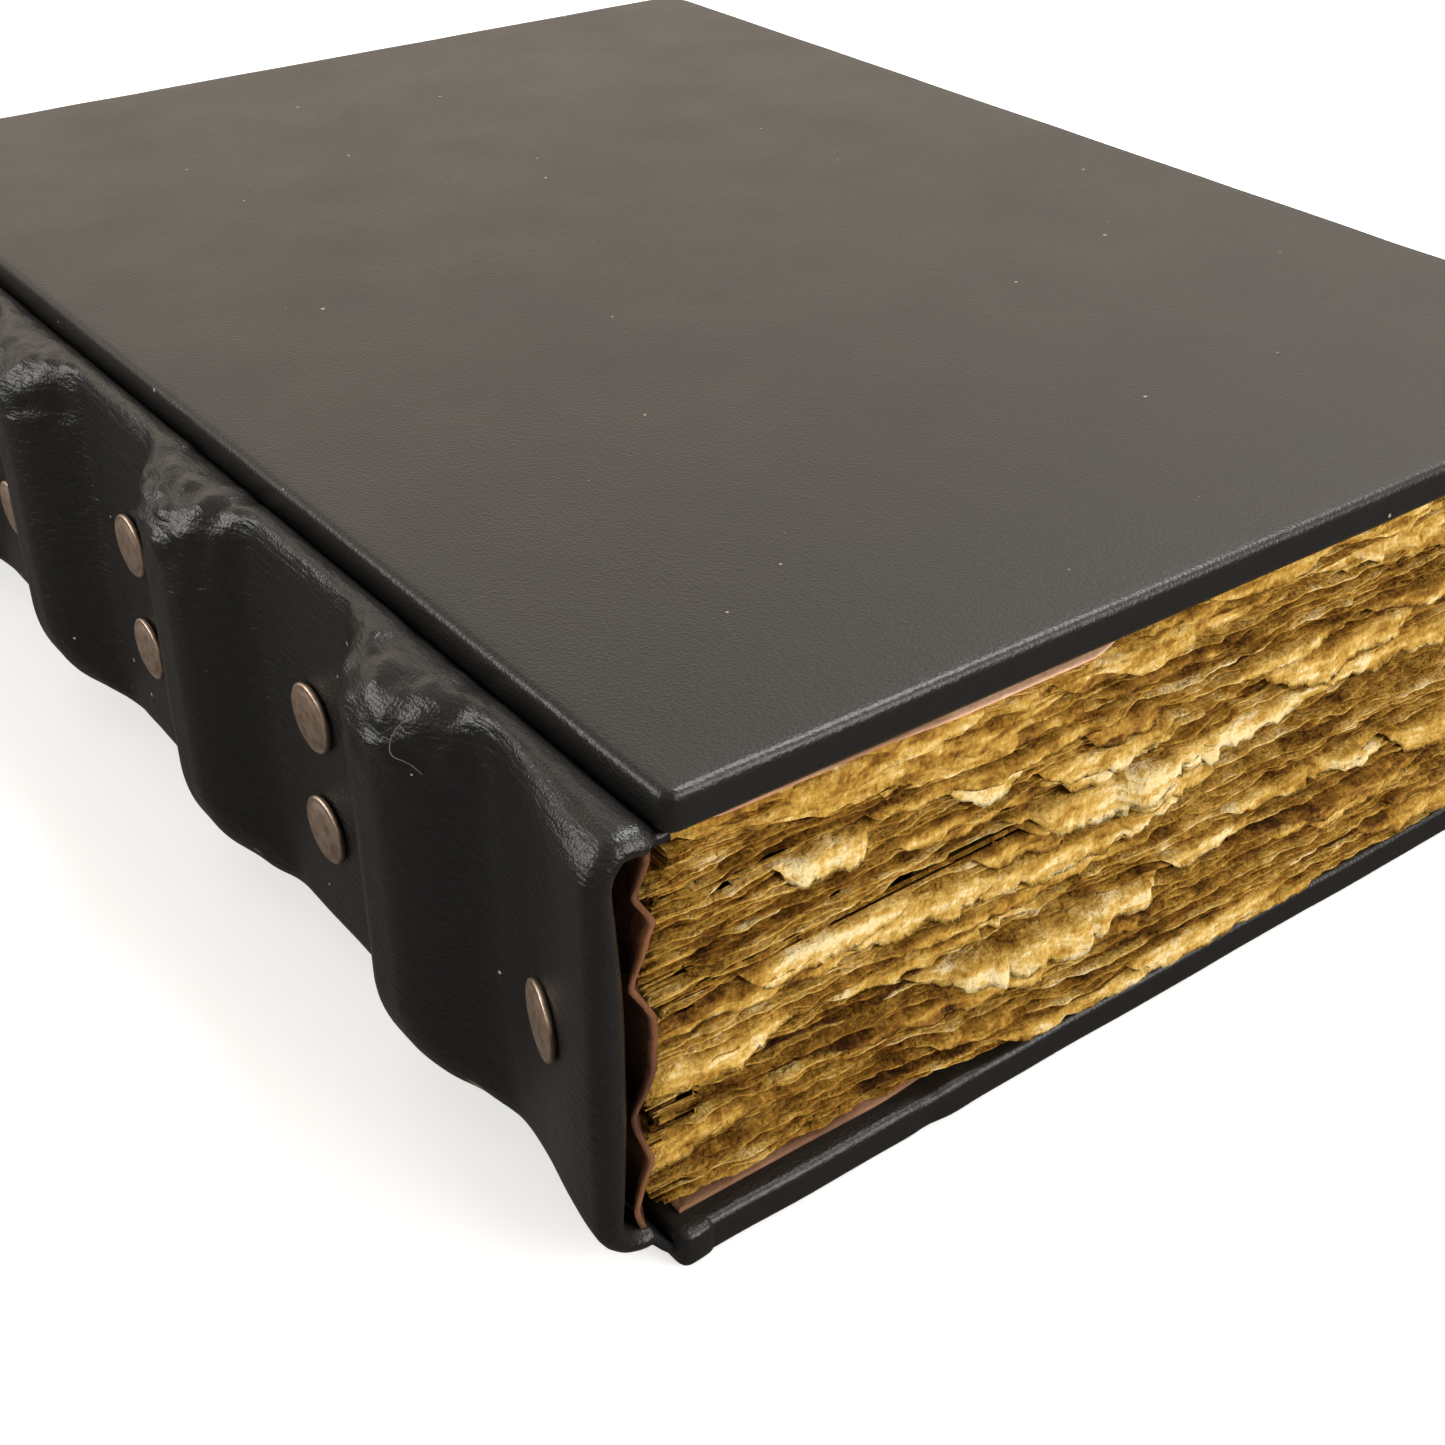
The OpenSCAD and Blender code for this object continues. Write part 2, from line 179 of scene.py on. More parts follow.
def join_parts(parts):
    """One set of points, quads, caps and any values per point from several sets."""
    base = np.cumsum([0] + [len(part[0]) for part in parts])
    points = np.concatenate([part[0] for part in parts])
    quads = np.concatenate([part[1] + first for part, first in zip(parts, base)])
    caps = [cap + first for part, first in zip(parts, base) for cap in part[2]]
    values = [np.concatenate(column) for column in list(zip(*parts))[3:]]
    return points, quads, caps, *values


def rounded_outline(x0, y0, x1, y1, r, fore_r, step):
    """Points anticlockwise round a rectangle with corners r, and fore_r at x1; as many for any inset."""
    r, far = max(r, 0.05), max(fore_r, 0.05)
    nx, ny = step
    arc = np.linspace(0, math.pi / 2, 9)
    parts = []
    corners = [
        ((x1 - far, y0 + far), -math.pi / 2, far),
        ((x1 - far, y1 - far), 0.0, far),
        ((x0 + r, y1 - r), math.pi / 2, r),
        ((x0 + r, y0 + r), math.pi, r),
    ]
    starts = [(x0 + r, y0), (x1, y0 + far), (x1 - far, y1), (x0, y1 - r)]
    ends = [(x1 - far, y0), (x1, y1 - far), (x0 + r, y1), (x0, y0 + r)]
    for k in range(4):
        n = nx if k % 2 == 0 else ny
        t = np.linspace(0, 1, n + 1)[1:-1, None]
        parts.append(np.array(starts[k]) * (1 - t) + np.array(ends[k]) * t)
        (cx, cy), turn, radius = corners[k]
        parts.append(np.stack([cx + radius * np.cos(arc + turn), cy + radius * np.sin(arc + turn)], axis=1))
    return np.concatenate(parts)


# ---------------------------------------------------------------- materials
class Shading:
    """The node tree of a material or world, with short ways to add to it."""

    def __init__(self, owner):
        owner.use_nodes = True
        self.nodes = owner.node_tree.nodes
        self.links = owner.node_tree.links

    def add(self, kind):
        return self.nodes.new("ShaderNode" + kind)

    def feed(self, socket, value):
        """Join another node's output to a socket, or set the socket to a constant."""
        if isinstance(value, bpy.types.NodeSocket):
            self.links.new(value, socket)
        else:
            socket.default_value = value

    def noise(self, scale, detail=3.0, stretch=(1, 1, 1)):
        """Noise in the object's own space; stretch above 1 shortens the features along that axis."""
        mapping, noise = self.add("Mapping"), self.add("TexNoise")
        self.feed(mapping.inputs["Vector"], self.add("TexCoord").outputs["Object"])
        self.feed(mapping.inputs["Scale"], stretch)
        self.feed(noise.inputs["Vector"], mapping.outputs["Vector"])
        self.feed(noise.inputs["Scale"], scale)
        self.feed(noise.inputs["Detail"], detail)
        return noise.outputs["Fac"]

    def cells(self, scale):
        """Cells in the object's own space."""
        cells = self.add("TexVoronoi")
        self.feed(cells.inputs["Vector"], self.add("TexCoord").outputs["Object"])
        self.feed(cells.inputs["Scale"], scale)
        return cells

    def point_value(self, name):
        """The value that add_piece keeps for each point."""
        node = self.add("Attribute")
        node.attribute_name = name
        return node.outputs["Fac"]

    def math(self, operation, a, b=0.0, c=0.0, clamp=False):
        """Arithmetic on numbers or the outputs of other nodes."""
        node = self.add("Math")
        node.operation = operation
        node.use_clamp = clamp
        for socket, value in zip(node.inputs, (a, b, c)):
            self.feed(socket, value)
        return node.outputs["Value"]

    def ramp(self, source, stops):
        """Color from a value by (value, color) stops."""
        node = self.add("ValToRGB")
        band = node.color_ramp
        while len(band.elements) < len(stops):
            band.elements.new(0.5)
        for element, (place, color) in zip(band.elements, stops):
            element.position = place
            element.color = (*color, 1)
        self.feed(node.inputs["Fac"], source)
        return node.outputs["Color"]

    def bump(self, socket, heights, strength):
        """Bump from (height, depth in metres) pairs, one over the other."""
        normal = None
        for height, depth in heights:
            bump = self.add("Bump")
            self.feed(bump.inputs["Strength"], strength)
            self.feed(bump.inputs["Distance"], depth)
            self.feed(bump.inputs["Height"], height)
            if normal is not None:
                self.feed(bump.inputs["Normal"], normal)
            normal = bump.outputs["Normal"]
        self.feed(socket, normal)


def new_material(name, color, roughness, metallic=0.0, specular=0.5):
    """A Principled material, with its shader's inputs and its node tree."""
    material = bpy.data.materials.new(name)
    tree = Shading(material)
    inputs = tree.nodes["Principled BSDF"].inputs
    inputs["Base Color"].default_value = (*color, 1)
    inputs["Roughness"].default_value = roughness
    inputs["Metallic"].default_value = metallic
    inputs["Specular IOR Level"].default_value = specular
    return material, inputs, tree


def dust_flecks(tree):
    """Sparse pale specks: 1 inside a speck, 0 elsewhere."""
    cells = tree.cells(190)
    split = tree.add("SeparateColor")
    tree.feed(split.inputs["Color"], cells.outputs["Color"])
    chosen = tree.math("GREATER_THAN", split.outputs["Red"], 0.70)
    size = tree.math("MULTIPLY", split.outputs["Green"], 0.065)
    return tree.math("MULTIPLY", chosen, tree.math("LESS_THAN", cells.outputs["Distance"], size))


def black_leather(name, wrinkled):
    """Near-black pebbled leather; the spine's is drawn into fine lines along its shoulders."""
    dark, dust = (0.0105, 0.0100, 0.0095), (0.30, 0.28, 0.22)
    material, inputs, tree = new_material(name, dark, 0.4)
    tree.feed(inputs["Base Color"], tree.ramp(dust_flecks(tree), [(0.0, dark), (1.0, dust)]))
    patchy = tree.math("MULTIPLY_ADD", tree.noise(55), 0.16, 0.24 if wrinkled else 0.27)
    tree.feed(inputs["Roughness"], patchy)
    pebbles = tree.cells(2400)
    pebbles.feature = "SMOOTH_F1"
    pebbles.inputs["Smoothness"].default_value = 0.6
    heights = [(pebbles.outputs["Distance"], 0.00008), (tree.noise(3600), 0.00005)]
    if wrinkled:
        heights.insert(0, (tree.noise(250, 4, (3.0, 0.9, 5.0)), 0.00045))
    tree.bump(inputs["Normal"], heights, 0.62)
    return material


def tan_leather(name, stops, lift):
    """Suede-like leather: paler where the tone attribute is high, darker where it is below zero."""
    material, inputs, tree = new_material(name, stops[1][1], 0.78, specular=0.2)
    tone_lift = tree.math("MULTIPLY", tree.point_value("tone"), lift)
    shade = tree.math("ADD", tree.noise(90, 5), tone_lift, clamp=True)
    tree.feed(inputs["Base Color"], tree.ramp(shade, stops))
    tree.bump(inputs["Normal"], [(tree.noise(420, 4), 0.0006), (tree.noise(1800, 4), 0.00025)], 0.7)
    return material


PAPER_STOPS = [
    (0.0, (0.045, 0.016, 0.002)),
    (0.2, (0.155, 0.066, 0.008)),
    (0.42, (0.30, 0.150, 0.020)),
    (0.64, (0.48, 0.280, 0.050)),
    (0.85, (0.64, 0.43, 0.130)),
    (1.0, (0.78, 0.62, 0.32)),
]
CLEAN_PAPER = (0.70, 0.53, 0.30)


def page_paper():
    """Aged paper: tone darkens or lightens it, and where worn is 0 it is cleaner and smoother."""
    material, inputs, tree = new_material("page_paper", (0.45, 0.28, 0.08), 0.9, specular=0.12)
    value = tree.point_value("tone")
    worn = tree.point_value("worn")
    rough = tree.math("MULTIPLY_ADD", worn, 0.78, 0.22)
    layers = [
        (tree.noise(330, 5, (0.4, 0.4, 2.6)), 1.15),
        (tree.noise(75, 5), 0.38),
        (tree.noise(1500, 4), 0.75),
    ]
    for source, amount in layers:
        spread = tree.math("MULTIPLY_ADD", source, amount, -amount / 2)
        value = tree.math("ADD", value, tree.math("MULTIPLY", spread, rough))
    value = tree.math("ADD", value, 0.0, clamp=True)
    blend = tree.add("Mix")
    blend.data_type = "RGBA"
    tree.feed(blend.inputs[0], tree.math("MULTIPLY_ADD", worn, -0.75, 0.75))
    tree.feed(blend.inputs[6], tree.ramp(value, PAPER_STOPS))
    tree.feed(blend.inputs[7], (*CLEAN_PAPER, 1))
    tree.feed(inputs["Base Color"], blend.outputs[2])
    tree.bump(inputs["Normal"], [(tree.noise(700, 6), 0.0012), (tree.noise(2200), 0.0004)], 0.85)
    return material


def bronze():
    """Worn bronze, rubbed paler in spots."""
    stops = [(0.3, (0.54, 0.38, 0.28)), (0.55, (0.80, 0.62, 0.49)), (0.8, (0.90, 0.74, 0.60))]
    material, inputs, tree = new_material("bronze", stops[1][1], 0.42, metallic=1.0)
    tree.feed(inputs["Base Color"], tree.ramp(tree.noise(700, 4), stops))
    tree.bump(inputs["Normal"], [(tree.noise(1400, 2), 0.00004)], 0.5)
    return material


def plain(name, color, roughness):
    """Mottled material for the pieces inside the book."""
    material, inputs, tree = new_material(name, color, roughness)
    dark = tuple(0.75 * c for c in color)
    tree.feed(inputs["Base Color"], tree.ramp(tree.noise(300, 4), [(0.3, dark), (0.7, color)]))
    return material


BLACK = black_leather("black_leather", False)
SPINE_BLACK = black_leather("spine_black_leather", True)
TAN_STOPS = [
    (0.15, (0.14, 0.065, 0.035)),
    (0.5, (0.34, 0.18, 0.105)),
    (0.8, (0.60, 0.36, 0.23)),
    (1.0, (0.80, 0.52, 0.38)),
]
# Liner brown: the dark low stops are painted shade of the hollow it sits in, the pale top stop the painted
# light that make_liner puts on its ends.
BROWN_STOPS = [(0.2, (0.020, 0.007, 0.003)), (0.6, (0.055, 0.020, 0.009)), (1.0, (0.19, 0.075, 0.028))]
TAN = tan_leather("tan_leather", TAN_STOPS, 0.4)
BROWN = tan_leather("brown_leather", BROWN_STOPS, 0.38)
PAPER = page_paper()
BRONZE = bronze()
BOARD = plain("board", (0.5, 0.4, 0.28), 0.9)
CORE = plain("core_leather", (0.33, 0.2, 0.1), 0.8)
THREAD = plain("thread", (0.75, 0.68, 0.5), 0.8)
FIBRE = plain("stray_fibre", (0.14, 0.135, 0.12), 0.7)

# ---------------------------------------------------------------- covers
# DEEPEST is the inset of the small ring that closes a cover piece at the middle of the book.
DEEPEST = 86
EDGE_R = 1.2
CORNER_R = 2.0
FORE_CORNER_R = 7.0
SKIN_T = 1.1
TURN_IN = 14.0
LINING_MARGIN = 4.0
COVER_STEP = (130, 180)


def cover_rings(x0, outer_z, inner, section, seed, outline_fn=None):
    """Rings of a cover piece. section is (inset, depth from the outer face) pairs; inner is -1 or 1."""
    rings = []
    for inset, depth in section:
        flat = rounded_outline(
            x0 + inset, inset, FRONT_HIGH[0] - inset, BOOK_H - inset,
            CORNER_R - inset, FORE_CORNER_R - inset, COVER_STEP,
        )
        z = np.full(len(flat), outer_z + inner * depth)
        ring = np.column_stack([flat, z])
        rings.append(ring)
    points = np.array(rings)
    if outline_fn is not None:
        points = outline_fn(points)
    flat_points = points.reshape(-1, 3)
    insets = np.repeat([inset for inset, depth in section], points.shape[1])
    fade = smooth((DEEPEST - 2 - insets) / 30)
    for axis in range(3):
        amount = 0.10 if axis < 2 else 0.07
        wander = lattice_noise(flat_points * [1, 1, 0.4], (11, 11, 11), seed + axis)
        flat_points[:, axis] += amount * fade * wander
    return flat_points


def arc_section(inset, depth, start, steps=5):
    """Quarter round of the covered edge: start 0 turns from the outer face, 1 to the inner face."""
    angles = np.linspace(0, math.pi / 2, steps + 1)
    if start == 0:
        return [(inset - inset * math.sin(a), depth - depth * math.cos(a)) for a in angles]
    return [(inset - inset * math.cos(a), COVER_T - depth + depth * math.sin(a)) for a in angles]


def rim_crease(points):
    """A dent and a small swelling across the inner rim of the back cover's tail edge."""
    x, y, z = points[..., 0], points[..., 1], points[..., 2]
    place = x - 41 - 0.35 * y
    dip = np.exp(-((place / 2.0) ** 2)) - 0.6 * np.exp(-(((place - 4.5) / 2.6) ** 2))
    out = points.copy()
    out[..., 2] -= 0.45 * dip * smooth((12 - y) / 9) * smooth((z - 1.5) / 2.5)
    out[..., 1] += 0.25 * dip * smooth((3 - y) / 3)
    return out


def cover_leather(name, x0, outer_z, inner, body, node, seed, shape=None):
    """Leather over a board, from the middle of its outer face round the edge to the turn-in."""
    deep = [DEEPEST, 78, 68, 58, 48, 38, 30, 22, 16, 11, 7, 4.2, 2.9]
    section = [(d, 0.0) for d in deep]
    section += arc_section(EDGE_R, EDGE_R, 0)
    section += arc_section(EDGE_R, EDGE_R, 1)
    section += [(4, COVER_T), (8, COVER_T), (TURN_IN - 0.3, COVER_T), (TURN_IN, COVER_T - 0.3)]
    section += [(TURN_IN, COVER_T - SKIN_T), (SKIN_T, COVER_T - SKIN_T)]
    section += [(SKIN_T, SKIN_T), (DEEPEST, SKIN_T)]
    points = cover_rings(x0, outer_z, inner, section, seed, shape)
    piece = add_rings(name, points, len(section), BLACK)
    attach(piece, body)
    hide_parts(node)
    return piece


def cover_lining(name, x0, outer_z, inner, body, node, seed, droop):
    """Tan lining pasted over the turn-in. Where droop is set, its tail edge sags below the cover."""
    m = LINING_MARGIN
    t = COVER_T
    section = [(inset, t + LINING_T) for inset in (DEEPEST, 60, 40, 24, TURN_IN, 9, m + 1, m + 0.25)]
    section += [(m, t + LINING_T - 0.2), (m, t + 0.15), (m + 0.2, t + 0.02)]
    section += [(9, t + 0.02), (TURN_IN, t + 0.02), (TURN_IN, t - SKIN_T + 0.02)]
    section += [(DEEPEST, t - SKIN_T + 0.02)]
    rng = np.random.default_rng(seed)

    def shape(points):
        x, y = points[..., 0], points[..., 1]
        near_edge = smooth((9.5 - y) / 5)
        along = smooth((x - 3) / 8) * smooth((74 - x) / 10)
        ragged = 0.35 * line_noise(points[0, :, 0] + points[0, :, 1], 9, rng)
        out = points.copy()
        if droop:
            out[..., 1] -= near_edge * along * (2.3 + 1.4 * ragged[None, :])
            sag = smooth((x - 30) / 14) * smooth((66 - x) / 3)
            hang = smooth((4.6 - out[..., 1]) / 2.4)
            out[..., 2] += inner * hang * (0.8 * along + 0.6 * sag) * (1 + 0.6 * ragged[None, :])
        else:
            hidden = near_edge * smooth((x - 34) / 40)
            out[..., 1] += near_edge * (ragged[None, :] - 1.0) + 4.6 * hidden
            out[..., 0] -= 2.6 * smooth((x0 + m + 2 - x) / 2)
        return out

    points = cover_rings(x0, outer_z, inner, section, seed, shape)
    # Tone: paler where the front lining sags below the cover at the tail, darker near the back lining's tail
    # edge.
    sagging = smooth((points[:, 0] - 34) / 10) * smooth((68 - points[:, 0]) / 4)
    tone = smooth((5 - points[:, 1]) / 3) * sagging if droop else -0.2 * smooth((13 - points[:, 1]) / 6)
    piece = add_rings(name, points, len(section), TAN, tone)
    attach(piece, body)
    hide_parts(node)
    return piece


cover_leather("front_cover_leather", FRONT_LOW[0], BOOK_T, -1, "front_cover", "front_leather", 11)
cover_leather("back_cover_leather", BACK_LOW[0], 0.0, 1, "back_cover", "back_leather", 21, rim_crease)
cover_lining("front_cover_lining", FRONT_LOW[0], BOOK_T, -1, "front_cover", "front_lining", 31, True)
cover_lining("back_cover_lining", BACK_LOW[0], 0.0, 1, "back_cover", "back_lining", 41, False)


def squared_off(value, power):
    """Sine or cosine drawn toward a square, for soft boxes."""
    return np.sign(value) * np.abs(value) ** power


def corner_fold(name, y_end, seed):
    """Leather folded over a corner of the back cover beside the spine, with a crease where it stops."""
    way = 1 if y_end == 0 else -1
    half_turn = np.linspace(-math.pi / 2, math.pi / 2, 22)
    turn = np.linspace(0, 2 * math.pi, 48, endpoint=False)
    middle = np.array([BACK_LOW[0] + 2.0, y_end + way * 4.6, COVER_T / 2 + 0.06])
    reach = np.array([2.7, 5.0, COVER_T / 2 + 0.1])
    rows = []
    for a in half_turn[1:-1]:
        ring = np.column_stack([
            squared_off(np.cos(turn), 0.45) * math.cos(a) ** 0.3,
            squared_off(np.sin(turn), 0.45) * math.cos(a) ** 0.3,
            np.full(len(turn), float(squared_off(math.sin(a), 0.4))),
        ])
        rows.append(ring * reach + middle)
    points = np.concatenate(rows)
    points[:, :2] += 0.14 * lattice_noise(points, (2.4, 2.4, 1.2), seed)[:, None]
    piece = add_rings(name, points, len(rows), BLACK)
    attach(piece, "back_cover")


corner_fold("corner_fold_tail", 0, 25)
corner_fold("corner_fold_head", BOOK_H, 26)

# ---------------------------------------------------------------- spine
PANEL_OUT = 2.2
BAND_RISE = 7.6
END_FLARE = 4.8
FLARE_LENGTH = 27.0
CREST_HALF = 2.0
FOOT_HALF = 17.0
BAND_PITCH = 56.65
FLANGE_X = -0.2
GROOVE_X = 1.9
GROOVE_DROP = 1.7
SHOULDER_X = -0.5
MID_Z = 32.6
PAIR_HALF = 8.7
END_RIVET = 14.0
BAND_Y = [BOOK_H / 2 + (i - 1.5) * BAND_PITCH for i in range(4)]


def band_height(y):
    """Rise of the raised bands: 1 along a crest, 0 on the panels."""
    total = np.zeros_like(y)
    for middle in BAND_Y:
        total += 1 - smooth((np.abs(y - middle) - CREST_HALF) / (FOOT_HALF - CREST_HALF))
    return total


def end_flare(y):
    """Flare of the spine: 1 at head and tail, 0 on the panels."""
    d = np.minimum(y, BOOK_H - y)
    return (1 + np.cos(math.pi * np.clip(d / FLARE_LENGTH, 0, 1))) / 2


def spine_out(y):
    """How far the spine leather stands outside the groove."""
    y = np.asarray(y, float)
    return PANEL_OUT + END_FLARE * end_flare(y) + BAND_RISE * band_height(y)


def spine_section(y, count_arc=20, count_side=48):
    """Outer face of the spine across its width at each y, from the bottom flange into the top groove."""
    y = np.asarray(y, float)
    out = spine_out(y)
    top = SPINE_HIGH[2]
    bottom = SPINE_LOW[2]
    tall = 2.3 + 0.62 * out
    low_tall = tall + 6.0 * band_height(y)
    apex = -0.35 - 0.22 * out
    angle = np.linspace(0, math.pi / 2, count_arc)
    rows_x = [np.full_like(y, FLANGE_X)]
    rows_z = [np.full_like(y, bottom)]
    for a in angle:
        rows_x.append(SHOULDER_X - (out + SHOULDER_X) * math.sin(a))
        rows_z.append(bottom + low_tall * (1 - math.cos(a)))
    for k in range(1, count_side):
        t = k / count_side
        rows_x.append(-out)
        rows_z.append((bottom + low_tall) * (1 - t) + (top - tall) * t)
    for a in angle[::-1]:
        rows_x.append(apex - (out + apex) * math.sin(a))
        rows_z.append(top - tall * (1 - math.cos(a)))
    for a in np.linspace(0, math.pi / 2, 7)[1:]:
        rows_x.append(apex + (GROOVE_X - apex) * math.sin(a))
        rows_z.append(np.full_like(y, top - GROOVE_DROP * (1 - math.cos(a))))
    return np.array(rows_x), np.array(rows_z)


def spine_path():
    """(place along the spine, depth into it) round the leather: outer face, curls and turned-in ends."""
    curl, thin = 2.3, 2.9
    inner = curl - SKIN_T
    half_turn = np.linspace(0, math.pi, 11)[1:-1]
    legs = np.linspace(0, 10, 8)
    deep = thin + (2 * curl - thin) * (1 - smooth(legs / 5))
    far = BOOK_H - curl
    path = [(y, 0.0) for y in np.linspace(curl, far, 400)]
    path += [(far + curl * math.sin(a), curl - curl * math.cos(a)) for a in half_turn]
    path += [(far - leg, d) for leg, d in zip(legs, deep)]
    path += [(far - leg, d - SKIN_T) for leg, d in zip(legs[::-1], deep[::-1])]
    path += [(far + inner * math.sin(a), curl + inner * math.cos(a)) for a in half_turn]
    path += [(y, SKIN_T) for y in np.linspace(far, curl, 110)]
    path += [(curl - inner * math.sin(a), curl - inner * math.cos(a)) for a in half_turn]
    path += [(curl + leg, d - SKIN_T) for leg, d in zip(legs, deep)]
    path += [(curl + leg, d) for leg, d in zip(legs[::-1], deep[::-1])]
    path += [(curl - curl * math.sin(a), curl + curl * math.cos(a)) for a in half_turn]
    return np.array(path)


def spine_creases(points):
    """Outward lift of the leather: soft waves, puckers over the ends of the bands."""
    y, z = points[:, 1], points[:, 2]
    lift = 0.12 * lattice_noise(points, (14, 14, 14), 51)
    top_near = smooth((z - (BOOK_T - 22)) / 12)
    low_near = smooth((20 - z) / 12)
    band = band_height(y)
    side = band * (1 - band) * 4
    lift += 0.75 * top_near * side * lattice_noise(points, (4, 3.4, 3.0), 52)
    lift += 0.45 * top_near * band * lattice_noise(points, (3.5, 3.6, 1.9), 53)
    lift += 0.22 * top_near * (0.25 + band) * lattice_noise(points, (2.2, 1.9, 1.3), 57)
    lift += 0.22 * low_near * (0.3 + side) * lattice_noise(points, (5, 4, 3.5), 54)
    wrinkle = lattice_noise(points, (9, 9, 1.3), 55)
    patches = 0.4 + 0.6 * (lattice_noise(points, (16, 16, 16), 56) > 0)
    lift += 0.10 * smooth((z - (BOOK_T - 15)) / 8) * wrinkle * patches
    return np.clip(lift, -0.45, 0.2 + np.maximum(SPINE_HIGH[2] - z, 0))


def make_spine_leather():
    """The spine's leather as one closed skin, its section carried round the path of spine_path."""
    path = spine_path()
    y = np.clip(path[:, 0], 0, BOOK_H)
    depth = path[:, 1]
    xs, zs = spine_section(y)
    ahead_x = np.gradient(xs, axis=0)
    ahead_z = np.gradient(zs, axis=0)
    length = np.hypot(ahead_x, ahead_z) + 1e-9
    inward_x, inward_z = ahead_z / length, -ahead_x / length
    shallow = 1 - 0.42 * smooth(np.abs(zs - (SPINE_LOW[2] + SPINE_HIGH[2]) / 2) / 28 - 0.15)
    curled = SKIN_T + (depth[None, :] - SKIN_T) * shallow
    inset = np.where(depth[None, :] > SKIN_T + 0.01, curled, depth[None, :])
    px = xs + inward_x * inset
    pz = zs + inward_z * inset
    points = np.stack([px, np.broadcast_to(y, px.shape), pz], axis=-1).reshape(-1, 3)
    surface = np.stack([xs, np.broadcast_to(y, xs.shape), zs], axis=-1).reshape(-1, 3)
    lift = spine_creases(surface)
    rows, count = px.shape
    flange = np.ones(rows)
    flange[:3] = (0, 0.3, 0.7)
    flange[-6:] = (0.9, 0.75, 0.55, 0.3, 0.1, 0)
    lift = lift * np.repeat(flange, count)
    points[:, 0] -= inward_x.reshape(-1) * lift
    points[:, 2] -= inward_z.reshape(-1) * lift
    piece = add_rings("spine_cover_leather", points, rows, SPINE_BLACK)
    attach(piece, "spine")
    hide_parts("spine_leather")


make_spine_leather()


def make_loose_thread():
    """A short fibre caught on the shoulder of the band nearest the tail."""
    t = np.linspace(0, 1, 40)
    y = BAND_Y[0] - 7.5 + 1.6 * np.sin(3.4 * t) - 1.2 * t
    z = 61.5 - 6.5 * t + 0.5 * np.sin(9 * t)
    xs, zs = spine_section(y)
    face = slice(1, -8)
    surface = np.array([np.interp(z[k], zs[face, k], xs[face, k]) for k in range(len(t))])
    x = surface - 0.45 - 0.5 * np.sin(math.pi * t)
    path = np.column_stack([x, y, z])
    ahead = np.gradient(path, axis=0)
    ahead /= np.linalg.norm(ahead, axis=1)[:, None]
    side = np.cross(ahead, (1.0, 0, 0))
    side /= np.linalg.norm(side, axis=1)[:, None]
    up = np.cross(side, ahead)
    turn = np.linspace(0, 2 * math.pi, 8, endpoint=False)
    ring = side[:, None] * np.cos(turn)[None, :, None] + up[:, None] * np.sin(turn)[None, :, None]
    points = (path[:, None] + 0.06 * ring).reshape(-1, 3)
    piece = add_rings("loose_thread", points, len(t), FIBRE)
    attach(piece, "spine")


make_loose_thread()


def rivet_places():
    """Place along the spine and height of each rivet: one near each end, a pair in each middle panel."""
    places = [(END_RIVET, MID_Z), (BOOK_H - END_RIVET, MID_Z)]
    for a, b in zip(BAND_Y, BAND_Y[1:]):
        places += [((a + b) / 2, MID_Z - PAIR_HALF), ((a + b) / 2, MID_Z + PAIR_HALF)]
    return places


def make_rivets():
    """Thin rolled-rim caps with their shanks, each with small dents of its own."""
    cap_r, cap_t, shank_r = 4.8, 1.2, 1.5
    profile = [
        (cap_r * 0.35, cap_t - 0.02), (cap_r * 0.62, cap_t - 0.09), (cap_r * 0.78, cap_t - 0.2),
        (cap_r * 0.86, cap_t - 0.33), (cap_r * 0.91, cap_t - 0.32), (cap_r * 0.955, cap_t - 0.30),
        (cap_r * 0.985, cap_t - 0.42), (cap_r, cap_t - 0.62), (cap_r * 0.99, 0.4), (cap_r * 0.95, 0.12),
        (cap_r * 0.88, 0.03), (shank_r, 0.03), (shank_r, -2.2),
    ]
    count = 56
    turn = np.linspace(0, 2 * math.pi, count, endpoint=False)
    parts = []
    for k, (y, z) in enumerate(rivet_places()):
        before, out, after = spine_out(np.array([y - 0.5, y, y + 0.5]))
        lean = math.atan(after - before)
        outward = np.array([-math.cos(lean), -math.sin(lean), 0])
        across = np.array([-math.sin(lean), math.cos(lean), 0])
        rows = []
        for r, lift in profile:
            ring = np.outer(r * np.cos(turn), across) + np.outer(r * np.sin(turn), (0, 0, 1))
            rows.append(ring + outward * (lift + 0.05) + (-out, y, z))
        cap = np.concatenate(rows)
        dent = 0.05 * lattice_noise(cap, (3, 3, 3), 60 + k)
        on_top = np.repeat([lift > 0.5 for r, lift in profile], count)
        cap += np.outer(dent * on_top, outward)
        parts.append((cap, ring_quads(len(rows), count), end_caps(len(rows), count)))
    piece = add_piece("rivet_caps_bronze", *join_parts(parts), BRONZE)
    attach(piece, "spine")
    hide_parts("rivet_caps")


make_rivets()

# ---------------------------------------------------------------- pleated liner
LINER_T = 0.75
NEAR_X = 0.95
WAVE = [
    (7.2, -0.4), (11.7, -1.7), (18.4, 0.6), (25.8, -1.7), (31.2, 1.3),
    (38.6, 1.3), (43.8, -1.4), (51.4, 1.4), (55.2, -0.8), (59.0, 1.2), (60.1, 1.2),
]


def wave_x(z):
    """Place of the liner's pleats at a height."""
    knots_z = np.array([k[0] for k in WAVE])
    knots_x = np.array([k[1] for k in WAVE])
    i = np.clip(np.searchsorted(knots_z, z) - 1, 0, len(WAVE) - 2)
    t = np.clip((z - knots_z[i]) / (knots_z[i + 1] - knots_z[i]), 0, 1)
    t = 0.65 * t + 0.35 * smooth(t)
    return knots_x[i] + (knots_x[i + 1] - knots_x[i]) * t


def liner_x(z, y):
    """The pleats are full at head and tail, and pressed flat against the pages between."""
    full = wave_x(z)
    d = np.minimum(y, BOOK_H - y)
    press = smooth((d - 1.5) / 4)
    return full * (1 - press) + np.maximum(full, NEAR_X) * press


